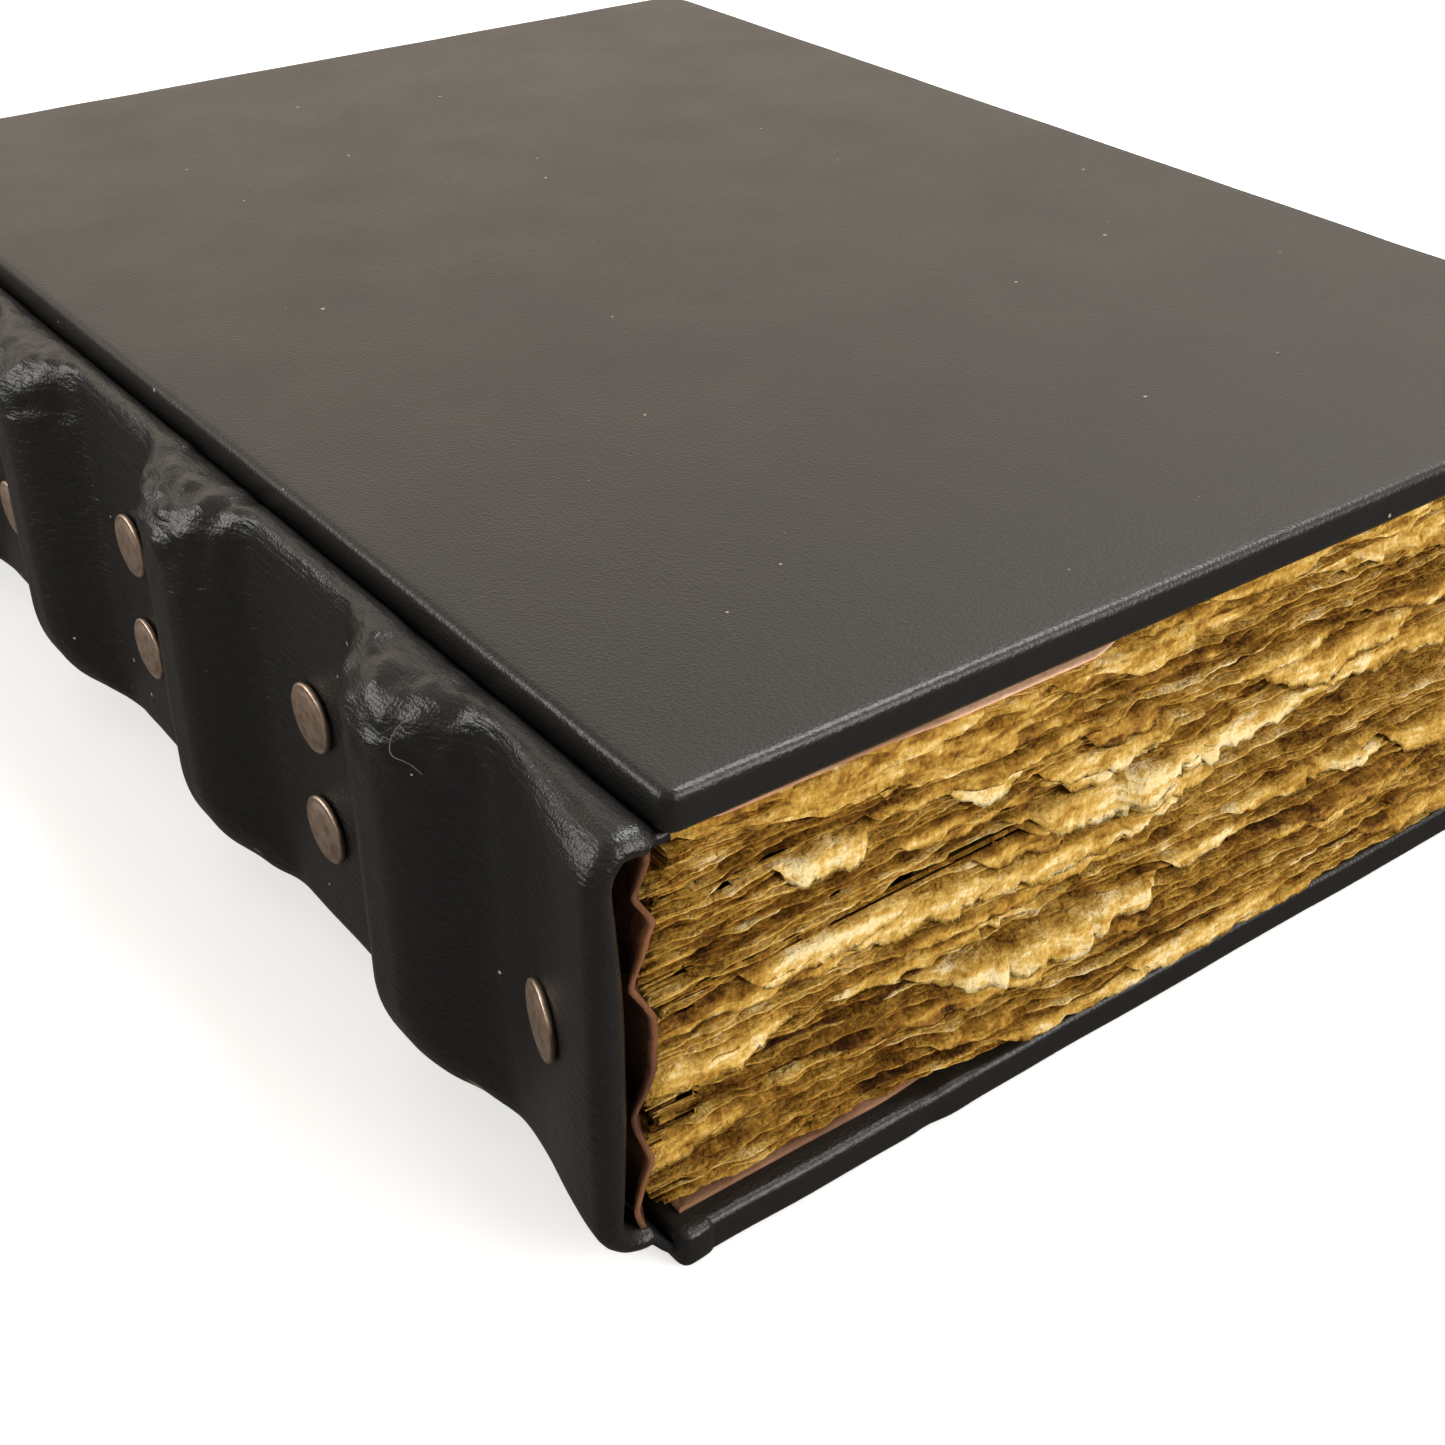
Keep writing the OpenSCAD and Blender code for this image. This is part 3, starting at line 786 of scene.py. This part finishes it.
def make_liner():
    """Pleated sheet between the spine and the folds, ragged where it is cut at head and tail, and painted
    paler there as painted light on the ends that stand out of the shaded hollow.
    """
    z = np.linspace(WAVE[0][0], WAVE[-1][0], 90)
    tail = np.linspace(1.6, 14, 14)
    head = np.linspace(BOOK_H - 14, BOOK_H - 1.6, 14)
    y = np.concatenate([tail, np.linspace(18, BOOK_H - 18, 40), head])
    zz, yy = np.meshgrid(z, y, indexing="ij")
    middle = liner_x(zz, yy)
    flat = np.stack([middle, yy, zz], -1).reshape(-1, 3)
    rumple = (0.16 * lattice_noise(flat, (5, 7, 3.2), 71)).reshape(middle.shape)
    middle = middle + rumple * smooth((zz - z[0]) / 2)
    heights = np.stack([zz, zz * 0, zz * 0], -1).reshape(-1, 3)
    ragged = 0.35 * lattice_noise(heights, (2.6, 1, 1), 72).reshape(middle.shape)
    yy = yy + ragged * (np.abs(yy - BOOK_H / 2) > BOOK_H / 2 - 3)
    outer = np.stack([middle - LINER_T / 2, yy, zz], -1)
    inner = np.stack([middle + LINER_T / 2, yy, zz], -1)[:, ::-1]
    rows = np.concatenate([outer, inner], axis=1)
    # painted light: the last 2 mm at head and tail are painted paler
    tone = 0.6 * (np.abs(rows[..., 1] - BOOK_H / 2) > BOOK_H / 2 - 2.0).reshape(-1)
    piece = add_rings("pleated_liner", rows.reshape(-1, 3), len(z), BROWN, tone)
    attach(piece, "spine")
    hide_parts("spine_liner")


make_liner()

# ---------------------------------------------------------------- torn-edge pages
SHEET_T = 0.42
SHEET_PITCH = 0.78
SQUARE = 5.0
SWELL_ROOM = 6.2
COVERED_SHEETS = 6
FOLD_GAP = LINER_T / 2 + 0.45


def page_wave(x, y, z):
    """Slow swell that all sheets share, none where they meet the covers or the fold."""
    room = np.sin(np.clip((z - SWELL_ROOM) / (BOOK_T - 2 * SWELL_ROOM), 0, 1) * math.pi) ** 0.7
    q = np.stack([np.broadcast_to(x, z.shape), np.broadcast_to(y, z.shape), z], -1).reshape(-1, 3)
    swell = 0.9 * lattice_noise(q, (44, 52, 24), 81) + 0.45 * lattice_noise(q, (17, 19, 9), 82)
    return swell.reshape(z.shape) * room


def page_stations():
    """Places round the pages: tail, fore edge, head, spine side, with outward directions."""
    x0, y0 = PAGE_LOW[0], SQUARE
    x1, y1 = PAGE_HIGH[0], BOOK_H - SQUARE
    tail = np.linspace(x0, x1 - 2, 226)
    fore = np.linspace(y0 + 2, y1 - 2, 92)
    head = np.linspace(x1 - 2, x0, 74)
    # the spine side has few stations, close together only near the head and the tail
    back = np.array([0.25, 1.0, 3, 7, 14, 40, 90, 127, 165, 215, 240, 247, 251, 253.5, 254.4])
    back = y1 - (back - 0.2) / 254.4 * (y1 - y0)
    corner = np.linspace(0, math.pi / 2, 5)[1:-1]
    tail_turn = np.column_stack([np.sin(corner), -np.cos(corner)])
    head_turn = np.column_stack([np.cos(corner), np.sin(corner)])
    base = np.concatenate([
        np.column_stack([tail, np.full(len(tail), y0)]),
        np.array([x1 - 2, y0 + 2]) + 2 * tail_turn,
        np.column_stack([np.full(len(fore), x1), fore]),
        np.array([x1 - 2, y1 - 2]) + 2 * head_turn,
        np.column_stack([head, np.full(len(head), y1)]),
        np.column_stack([np.full(len(back), x0), back]),
    ])
    out = np.concatenate([
        np.tile([0.0, -1.0], (len(tail), 1)), tail_turn,
        np.tile([1.0, 0.0], (len(fore), 1)), head_turn,
        np.tile([0.0, 1.0], (len(head), 1)), np.tile([-1.0, 0.0], (len(back), 1)),
    ])
    steps = np.hypot(*(np.roll(base, -1, 0) - base).T)
    along = np.concatenate([[0], np.cumsum(steps)[:-1]])
    return base, out, along, len(tail), len(base) - len(back)


BASE, OUT, ALONG, TAIL_COUNT, BACK_FIRST = page_stations()


def torn_fuzz(points):
    """Fine fibrous relief of a torn edge."""
    coarse = lattice_noise(points, (1.9, 1.9, 0.9), 85)
    return 0.42 * coarse + 0.22 * lattice_noise(points, (1.0, 1.0, 0.6), 86)


def paper_mottle(points):
    """Uneven tone of the paper."""
    coarse = lattice_noise(points, (5.5, 5.5, 1.7), 87)
    return 0.13 * coarse + 0.24 * lattice_noise(points, (1.7, 1.7, 0.8), 88)


def edge_reach(z, rng):
    """How far a sheet's torn edge stands beyond the nominal page, at each station."""
    x, y = BASE[:, 0], BASE[:, 1]
    spots = np.column_stack([ALONG, np.full(len(ALONG), z), np.zeros(len(ALONG))])
    reach = 1.25 * lattice_noise(spots, (26, 5.5, 1), 83) + 0.55 * lattice_noise(spots, (9, 2.6, 1), 84)
    for height, cell in ((0.75, 13), (0.35, 3.4), (0.16, 1.3)):
        reach += height * line_noise(ALONG, cell, rng)
    on_tail = smooth((SQUARE + 3 - y) / 3)
    reach += on_tail * 3.6 * smooth((x - 38) / 46) * smooth((34 - z) / 20)
    reach += on_tail * 1.6 * smooth((z - 50) / 8) * smooth((x - 8) / 20)
    reach += on_tail * 1.7 * smooth((15 - z) / 7)
    reach += on_tail * 1.3 * smooth((20 - z) / 8) * smooth((x - 30) / 20)
    reach *= smooth(ALONG / 6 + 0.35)
    reach = np.clip(reach, -3.2, 5.4)
    reach[BACK_FIRST:] = 0
    return reach


def flap_length(z, rng):
    """Lens-shaped stretches of torn margin that hang over the layers below."""
    length = 0.22 + 0.12 * line_noise(ALONG, 2.4, rng)
    end = ALONG[BACK_FIRST - 1]
    for _ in range(rng.integers(2, 5)):
        middle = rng.random() * end
        half = 5 + 17 * rng.random() ** 1.5
        deep = 0.9 + 3.6 * rng.random() ** 1.6
        lens = np.clip(1 - ((ALONG - middle) / half) ** 2, 0, 1) ** 0.75
        length = length + deep * lens
    scallop = 1 + 0.22 * line_noise(ALONG, 2.8, rng) + 0.12 * line_noise(ALONG, 1.2, rng)
    length = np.clip(length * scallop, 0.12, min(5.2, max(0.6, z - 6.6)))
    length[BACK_FIRST:] = 0.12
    return length


def sheet_left(z, y):
    """Fold side of a sheet, just inside the liner."""
    return liner_x(z, y) + FOLD_GAP


def turn_down(reach, flap, below):
    """Reach at which a sheet turns down, past the edges of the sheets that its flap covers."""
    bend = reach.copy()
    for k, lower in enumerate(below):
        covered = flap * 0.9 > SHEET_PITCH * (k + 0.6)
        bend = np.where(covered, np.maximum(bend, lower + 0.18), bend)
    return np.minimum(bend, 5.6)


def sheet_section(taper):
    """Side, distance inward, share of the flap and thickness, from a sheet's top round to its underside."""
    top = [(-6.0, 0, 1.0), (-1.4, 0, 0.95), (0, 0.0, taper), (0, 0.34, taper * 0.9), (0, 0.7, taper * 0.7)]
    low = [(0, 0.72, taper * 0.7), (0, 0.36, taper * 0.9), (0, 0.0, taper), (-6.0, 0, 1.0)]
    return [(1, *place) for place in top] + [(0, 0, 1.0, taper * 0.45)] + [(-1, *place) for place in low]


def sheet_plan(out, z, inward, round_in):
    """Places of a ring seen from above, its spine side following the liner."""
    xy = BASE + OUT * out[:, None]
    back = BASE[BACK_FIRST:, 1]
    xy[BACK_FIRST:, 0] = sheet_left(np.full(len(back), z), back) - (inward - round_in)
    ends = [0, BACK_FIRST - 1]
    xy[ends, 0] = sheet_left(np.full(2, z), BASE[ends, 1]) + round_in - min(inward, 0) * 0.5
    return xy


def painted_edge_light_and_shade(reach, flap, inward, share):
    """Painted light and shade on the torn edges: long flaps are painted paler as a painted highlight, and
    edges that lie deep in the block are painted darker as painted shade.
    """
    light = 0.08 * smooth(flap / 2.4) * (share > 0)
    light = light + 0.13 * smooth((flap - 1.4) / 2.0) * (inward > -1)
    return light - 0.15 * smooth(-(reach + 0.2) / 2.0)


def torn_sheet(z, rng, below, round_in):
    """Ring points and tones of one sheet. below lists the reach of the sheets under it, nearest first."""
    reach = edge_reach(z, rng)
    flap = flap_length(z, rng)
    bend = turn_down(reach, flap, below)
    droop = math.radians(82) * smooth(flap / 1.6)
    flutter = 0.35 * line_noise(ALONG, 8, rng) + 0.16 * line_noise(ALONG, 2.6, rng)
    flutter[BACK_FIRST:] = 0
    taper = 0.55 + 0.25 * line_noise(ALONG, 3, rng)
    shade = min(max(0.49 + 0.13 * rng.standard_normal(), 0.2), 0.68)
    patch = 0.16 * line_noise(ALONG, 15, rng)
    rings, tones = [], []
    for side, inward, share, thick in sheet_section(taper):
        down = flap * share
        lift = side * SHEET_T / 2 * thick
        out = bend + inward + down * np.cos(droop)
        out = out + lift * np.sin(droop) * (share > 0)
        rise = -down * np.sin(droop) + lift * np.where(share > 0, np.cos(droop), 1.0)
        xy = sheet_plan(out, z, inward, round_in)
        height = z + rise + flutter * smooth(1 + inward / 9.0)
        height = height + page_wave(xy[:, 0], xy[:, 1], np.full(len(xy), z))
        ring = np.column_stack([xy, height])
        fuzz = torn_fuzz(ring)
        fuzz[BACK_FIRST - 1:] = 0
        ring[:, :2] += OUT * (fuzz * (inward > -2))[:, None]
        ring[:, 2] += 0.30 * fuzz * (inward > -2)
        rings.append(ring)
        # light holds painted light and shade: a painted highlight on long flaps, painted shade on edges deep
        # in the block
        light = painted_edge_light_and_shade(reach, flap, inward, share)
        tones.append(shade + patch + light + paper_mottle(ring) + 0.25 * fuzz)
    return np.array(rings), np.array(tones), bend


# The share of its hang at which each row of points of a leaf's margin lies, from the tip inward.
EDGE_SHARES = (1.0, 0.78, 0.55, 0.3)
LEAF_ROWS = 46
LEAF_COLS = 150
LEAF_W = 175
LEAF_H = 245


def leaf_flap(s, rng):
    """Hang of a leaf's torn margin along one edge: mostly short, with a few long ragged stretches."""
    length = 0.35 + 0.2 * line_noise(s, 2.4, rng)
    for _ in range(3):
        middle, half, deep = 10 + 150 * rng.random(), 8 + 14 * rng.random(), 0.8 + 2.4 * rng.random()
        length += deep * np.clip(1 - ((s - middle) / half) ** 2, 0, 1) ** 0.75
    return np.clip(length * (1 + 0.25 * line_noise(s, 2.6, rng)), 0.12, 3.4)


def leaf_margins(z, u, v, rng, push):
    """Torn tail, head and fore edges of a leaf."""
    s_u, s_v = u * LEAF_W, v * LEAF_H
    spots = np.column_stack([s_u, np.full(len(u), z), np.zeros(len(u))])
    torn = 1.0 * lattice_noise(spots, (22, 5.5, 1), 83) + 0.6 * line_noise(s_u, 11, rng)
    torn += 0.45 * line_noise(s_u, 3.6, rng) + 0.28 * line_noise(s_u, 1.4, rng) + push
    head = BOOK_H - SQUARE + 0.9 * line_noise(s_u, 12, rng) + 0.45 * line_noise(s_u, 4, rng)
    fore = PAGE_HIGH[0] + 0.9 * line_noise(s_v, 14, rng) + 0.45 * line_noise(s_v, 5.5, rng)
    return SQUARE - torn, head, fore


def leaf_quads(cols, rows):
    """Faces of a leaf from its upper and lower grids of points, closed round the rim."""
    a = np.arange(cols - 1)[:, None] * rows + np.arange(rows - 1)[None, :]
    upper = np.stack([a, a + rows, a + rows + 1, a + 1], -1).reshape(-1, 4)
    count = rows * cols
    rim = np.concatenate([
        np.arange(cols) * rows,
        (cols - 1) * rows + np.arange(1, rows),
        np.arange(cols - 2, -1, -1) * rows + rows - 1,
        np.arange(rows - 2, 0, -1),
    ])
    onward = np.roll(rim, -1)
    side = np.stack([rim + count, onward + count, onward, rim], -1)
    return np.concatenate([upper, upper[:, ::-1] + count, side])


def page_grid(z, rng, left_extra=0.0, left=None, flaps=True, push=0.0):
    """Points, quads, caps, tones and wear of a whole leaf, its torn margins hanging a little.

    left sets its fold edge in from the liner; left_extra sets it in from the fold side of the flyleaf.
    """
    u = np.linspace(0, 1, LEAF_COLS)
    v = np.linspace(0, 1, LEAF_ROWS)
    v = v - 0.7 * np.sin(2 * math.pi * v) / (2 * math.pi)
    tail, head, fore = leaf_margins(z, u, v, rng, push)
    hang = leaf_flap(u * LEAF_W, rng) if flaps else np.full(LEAF_COLS, 0.15)
    extra = len(EDGE_SHARES)
    vv = np.concatenate([np.zeros(extra), v, np.ones(extra)])
    share = np.concatenate([EDGE_SHARES, np.zeros(LEAF_ROWS), EDGE_SHARES[::-1]])
    way = np.concatenate([-np.ones(extra), np.zeros(LEAF_ROWS), np.ones(extra)])
    fore = np.interp(vv, v, fore)
    droop = math.radians(78) * smooth(hang / 1.6)[:, None] * (share > 0)[None, :]
    down = hang[:, None] * share[None, :]
    uu = np.broadcast_to(u[:, None], (LEAF_COLS, len(vv)))
    yy = tail[:, None] * (1 - vv)[None, :] + head[:, None] * vv[None, :]
    x_left = (PAGE_LOW[0] + left_extra) if left is None else sheet_left(np.full_like(yy, z), yy) + left
    xx = x_left * (1 - uu) + fore[None, :] * uu
    zz = np.full_like(xx, z) + page_wave(xx, yy, np.full_like(xx, z))
    edge = np.minimum.reduce([(fore[None, :] - xx), (yy - tail[:, None]), (head[:, None] - yy)])
    yy = yy + way[None, :] * down * np.cos(droop)
    zz = zz - down * np.sin(droop)
    middle = np.stack([xx, yy, zz], -1).reshape(-1, 3)
    near = (1 - smooth(edge / 3)).reshape(-1)
    outward = np.broadcast_to(way[None, :], xx.shape).reshape(-1)
    fuzz = torn_fuzz(middle) * near
    middle[:, 1] += outward * fuzz * 0.8
    middle[:, 2] += 0.22 * fuzz
    half = (SHEET_T / 2 * (0.4 + 0.6 * smooth(edge / 4)) * (1 - 0.5 * share[None, :])).reshape(-1)
    lean = droop.reshape(-1)
    shift = np.column_stack([np.zeros(len(half)), outward * half * np.sin(lean), half * np.cos(lean)])
    worn = (1 - smooth((edge - 1) / 13)).reshape(-1)
    tone = 0.53 + 0.25 * (1 - worn) + 0.06 * rng.standard_normal()
    # the smooth(down) term is a painted highlight: margins that hang down are painted paler
    tone = tone + near * (paper_mottle(middle) + 0.25 * fuzz) + 0.10 * smooth(down / 1.5).reshape(-1)
    points = np.concatenate([middle + shift, middle - shift])
    return points, leaf_quads(*xx.shape), [], np.tile(tone, 2), np.tile(worn, 2)


def stack_sheets(low, high, rng, below, top_grid=False):
    """Points, quads, caps, tones and wear of the sheets from low to high. Their reaches go into below."""
    count = max(2, int(round((high - low) / SHEET_PITCH)))
    levels = low + SHEET_T / 2 + (high - low - SHEET_T) * np.arange(count) / (count - 1)
    middle, half = (low + high) / 2, (high - low) / 2
    parts = []
    for k, z in enumerate(levels):
        round_in = 2.6 * abs((z - middle) / half) ** 4
        if top_grid and k == count - 1:
            parts.append(page_grid(z, rng, left=round_in))
            continue
        rings, tone, reach = torn_sheet(z, rng, below[:COVERED_SHEETS], round_in)
        below.insert(0, reach)
        rows, ring = rings.shape[:2]
        quads, caps = ring_quads(rows, ring), end_caps(rows, ring)
        parts.append((rings.reshape(-1, 3), quads, caps, tone.reshape(-1), np.ones(rows * ring)))
    return join_parts(parts)


def make_signatures():
    """The four sewn gatherings, from the lowest up, so that each sheet knows what lies under it."""
    below = []
    for number in (4, 3, 2, 1):
        node = f"signature_{number}"
        low, high = local_box(node)
        rng = np.random.default_rng(900 + number)
        points, quads, caps, tones, worns = stack_sheets(low[2], high[2], rng, below, number == 1)
        piece = add_piece(f"gathering_pages_{number}", points, quads, caps, PAPER, tones, worns)
        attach(piece, "spine")
        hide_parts(node)


make_signatures()


def turning_piece(name, parts, node):
    """Pages that turn, made as one piece with its points baked in place; the frame's node is hidden."""
    points, quads, caps, tones, worns = join_parts(parts)
    piece = add_piece(name, points, quads, caps, PAPER, tones, worns)
    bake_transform(piece)
    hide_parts(node)
    return piece


def make_leaves():
    """The front flyleaf and leaves 1 to 5, the gathering after the flyleaf, and the last leaf."""
    bodies = {"front_flyleaf": "flyleaf", **{f"leaf_{i}": f"leaf_{i}" for i in range(1, 6)}}
    for k, (node, body) in enumerate(bodies.items()):
        low, high = local_box(node)
        rng = np.random.default_rng(700 + k)
        z = (low[2] + high[2]) / 2
        turning_piece(f"torn_{node}", [page_grid(z, rng, push=0.25 * (6 - k))], node)
    low, high = local_box("opening_gathering")
    rng = np.random.default_rng(750)
    count = 4
    parts = []
    for k in range(count):
        z = low[2] + SHEET_T / 2 + (high[2] - low[2] - SHEET_T) * k / (count - 1)
        inset = 0.9 * abs(2 * k / (count - 1) - 1) ** 2
        parts.append(page_grid(z, rng, left_extra=inset, push=0.9))
    turning_piece("torn_opening_gathering", parts, "opening_gathering")
    low, high = local_box("back_flyleaf")
    rng = np.random.default_rng(760)
    points, quads, caps, tones, worns = page_grid((low[2] + high[2]) / 2, rng, flaps=False, push=0.8)
    piece = add_piece("torn_back_flyleaf", points, quads, caps, PAPER, tones, worns)
    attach(piece, "spine")
    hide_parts("back_flyleaf")


make_leaves()

# ---------------------------------------------------------------- joint leather
def joint_strip(name, line, node, seed):
    """A curved strip along the joint, from its mid line (x, z) and an even thickness."""
    line = np.array(line, float)
    fine = np.linspace(0, len(line) - 1, 26)
    index = np.clip(fine.astype(int), 0, len(line) - 2)
    t = (fine - index)[:, None]
    p0 = line[np.maximum(index - 1, 0)]
    p1, p2 = line[index], line[index + 1]
    p3 = line[np.minimum(index + 2, len(line) - 1)]
    square, cube = 2 * p0 - 5 * p1 + 4 * p2 - p3, 3 * p1 - p0 - 3 * p2 + p3
    curve = 0.5 * (2 * p1 + (p2 - p0) * t + square * t ** 2 + cube * t ** 3)
    way = np.gradient(curve, axis=0)
    way /= np.linalg.norm(way, axis=1)[:, None]
    normal = np.column_stack([-way[:, 1], way[:, 0]])
    y = np.linspace(1.4, BOOK_H - 1.4, 128)
    rows = []
    for side in (0.5, -0.5):
        path = curve + normal * SKIN_T * side
        xx = np.broadcast_to(path[:, 0][:, None], (len(path), len(y)))
        zz = np.broadcast_to(path[:, 1][:, None], (len(path), len(y)))
        yy = np.broadcast_to(y, xx.shape)
        rows.append(np.stack([xx, yy, zz], -1))
    loop = np.concatenate([rows[0], rows[1][:, ::-1]], axis=1)
    points = loop.reshape(-1, 3)
    points[:, 2] += 0.08 * lattice_noise(points, (5, 7, 5), seed)
    piece = add_rings(name, points, len(curve), BLACK)
    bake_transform(piece)
    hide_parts(node)


TOP = SPINE_HIGH[2] - SKIN_T / 2
FRONT_LINE = [
    (0.6, TOP - 1.05), (1.1, TOP - 1.7), (1.8, TOP - 2.15), (2.6, TOP - 2.25),
    (FRONT_LOW[0] + 1.4, TOP - 2.1),
]
LOW = SPINE_LOW[2] + SKIN_T / 2
BACK_LINE = [
    (FLANGE_X - 0.1, LOW), (0.7, LOW - 0.7), (1.9, LOW - 2.3), (3.1, LOW - 3.6),
    (BACK_LOW[0] + 0.35, LOW - 3.9),
]
joint_strip(
    "front_joint_strip", FRONT_LINE, "front_joint_leather",
    91,
)
joint_strip(
    "back_joint_strip", BACK_LINE, "back_joint_leather",
    92,
)

# ---------------------------------------------------------------- inner pieces kept from the frame
KEPT = {"rivet_backs": BRONZE, "sewing_thread": THREAD}
KEPT.update({name: BOARD for name in ("front_board", "back_board", "spine_stiffener")})
KEPT.update({f"band_core_{i}": CORE for i in range(1, 5)})
for name, material in KEPT.items():
    kept_mesh = frame["nodes"][name].data
    kept_mesh.materials.clear()
    kept_mesh.materials.append(material)

# ---------------------------------------------------------------- stage, light and camera
def make_floor():
    """Plain pale floor, glowing a little so that it stays near white."""
    mesh = bpy.data.meshes.new("floor")
    half = 6.0
    corners = [(-half, -half, 0), (half, -half, 0), (half, half, 0), (-half, half, 0)]
    mesh.from_pydata(corners, [], [(0, 1, 2, 3)])
    floor = bpy.data.objects.new("floor", mesh)
    bpy.context.scene.collection.objects.link(floor)
    material, inputs, _ = new_material("floor", (0.92, 0.92, 0.92), 0.9, specular=0.1)
    inputs["Emission Color"].default_value = (1, 1, 1, 1)
    inputs["Emission Strength"].default_value = 0.55
    mesh.materials.append(material)
    floor.location.z = -0.0002
    floor.visible_glossy = False


SKY_STOPS = [
    (0.0, (0.105, 0.094, 0.083)),
    (0.06, (0.26, 0.23, 0.195)),
    (0.22, (0.95, 0.82, 0.67)),
    (0.5, (0.83, 0.72, 0.60)),
    (0.75, (0.41, 0.37, 0.32)),
    (1.0, (0.6, 0.56, 0.51)),
]


def make_world():
    """The leather mirrors a soft sky above the horizon and a dim floor below it, before a pale backdrop."""
    world = bpy.data.worlds.new("studio")
    bpy.context.scene.world = world
    tree = Shading(world)
    way = tree.add("TexCoord").outputs["Generated"]
    split = tree.add("SeparateXYZ")
    tree.feed(split.inputs["Vector"], way)
    facing = tree.add("VectorMath")
    facing.operation = "DOT_PRODUCT"
    tree.feed(facing.inputs[0], way)
    tree.feed(facing.inputs[1], (0.45, 0.89, 0.0))
    sky = tree.nodes["Background"]
    tree.feed(sky.inputs["Color"], tree.ramp(split.outputs["Z"], SKY_STOPS))
    tree.feed(sky.inputs["Strength"], tree.math("MULTIPLY_ADD", facing.outputs["Value"], 0.55, 0.78))
    pale = tree.add("Background")
    tree.feed(pale.inputs["Color"], (1, 1, 1, 1))
    mix = tree.add("MixShader")
    tree.feed(mix.inputs[0], tree.add("LightPath").outputs["Is Camera Ray"])
    tree.feed(mix.inputs[1], sky.outputs["Background"])
    tree.feed(mix.inputs[2], pale.outputs["Background"])
    tree.feed(tree.nodes["World Output"].inputs["Surface"], mix.outputs["Shader"])


def area_light(name, place, target, size, power, color=(1, 1, 1), shine=1.0):
    """Soft box at a place, aimed at a target, both in metres."""
    light = bpy.data.lights.new(name, "AREA")
    light.specular_factor = shine
    light.shape = "RECTANGLE"
    light.size, light.size_y = size
    light.energy = power
    light.color = color
    lamp = bpy.data.objects.new(name, light)
    bpy.context.scene.collection.objects.link(lamp)
    lamp.location = place
    lamp.rotation_euler = (Vector(target) - Vector(place)).to_track_quat("-Z", "Y").to_euler()


def make_camera():
    """The photo's viewpoint, worked out from the edges of the covers."""
    camera_data = bpy.data.cameras.new("camera")
    camera = bpy.data.objects.new("camera", camera_data)
    bpy.context.scene.collection.objects.link(camera)
    camera_data.lens = 49.94
    camera_data.sensor_width = 36
    camera_data.clip_start = 0.01
    camera.location = (np.array([-87.19, -129.17, 179.53]) + ORIGIN) * MM
    forward = Vector((0.49884, 0.66946, -0.55044))
    camera.rotation_euler = forward.to_track_quat("-Z", "Y").to_euler()
    bpy.context.scene.camera = camera


make_camera()
make_floor()
make_world()
area_light("overhead", (0.45, -0.05, 0.95), (0, 0, 0.03), (0.5, 0.5), 9)
area_light("front", (0.35, -1.0, 0.55), (0.03, -0.1, 0.03), (0.8, 0.6), 9.4, (1, 0.97, 0.93), 0.25)
area_light("left", (-1.0, 0.55, 0.4), (-0.08, 0, 0.03), (0.6, 0.5), 5)

scene = bpy.context.scene
scene.view_settings.view_transform = "Standard"
scene.view_settings.look = "None"
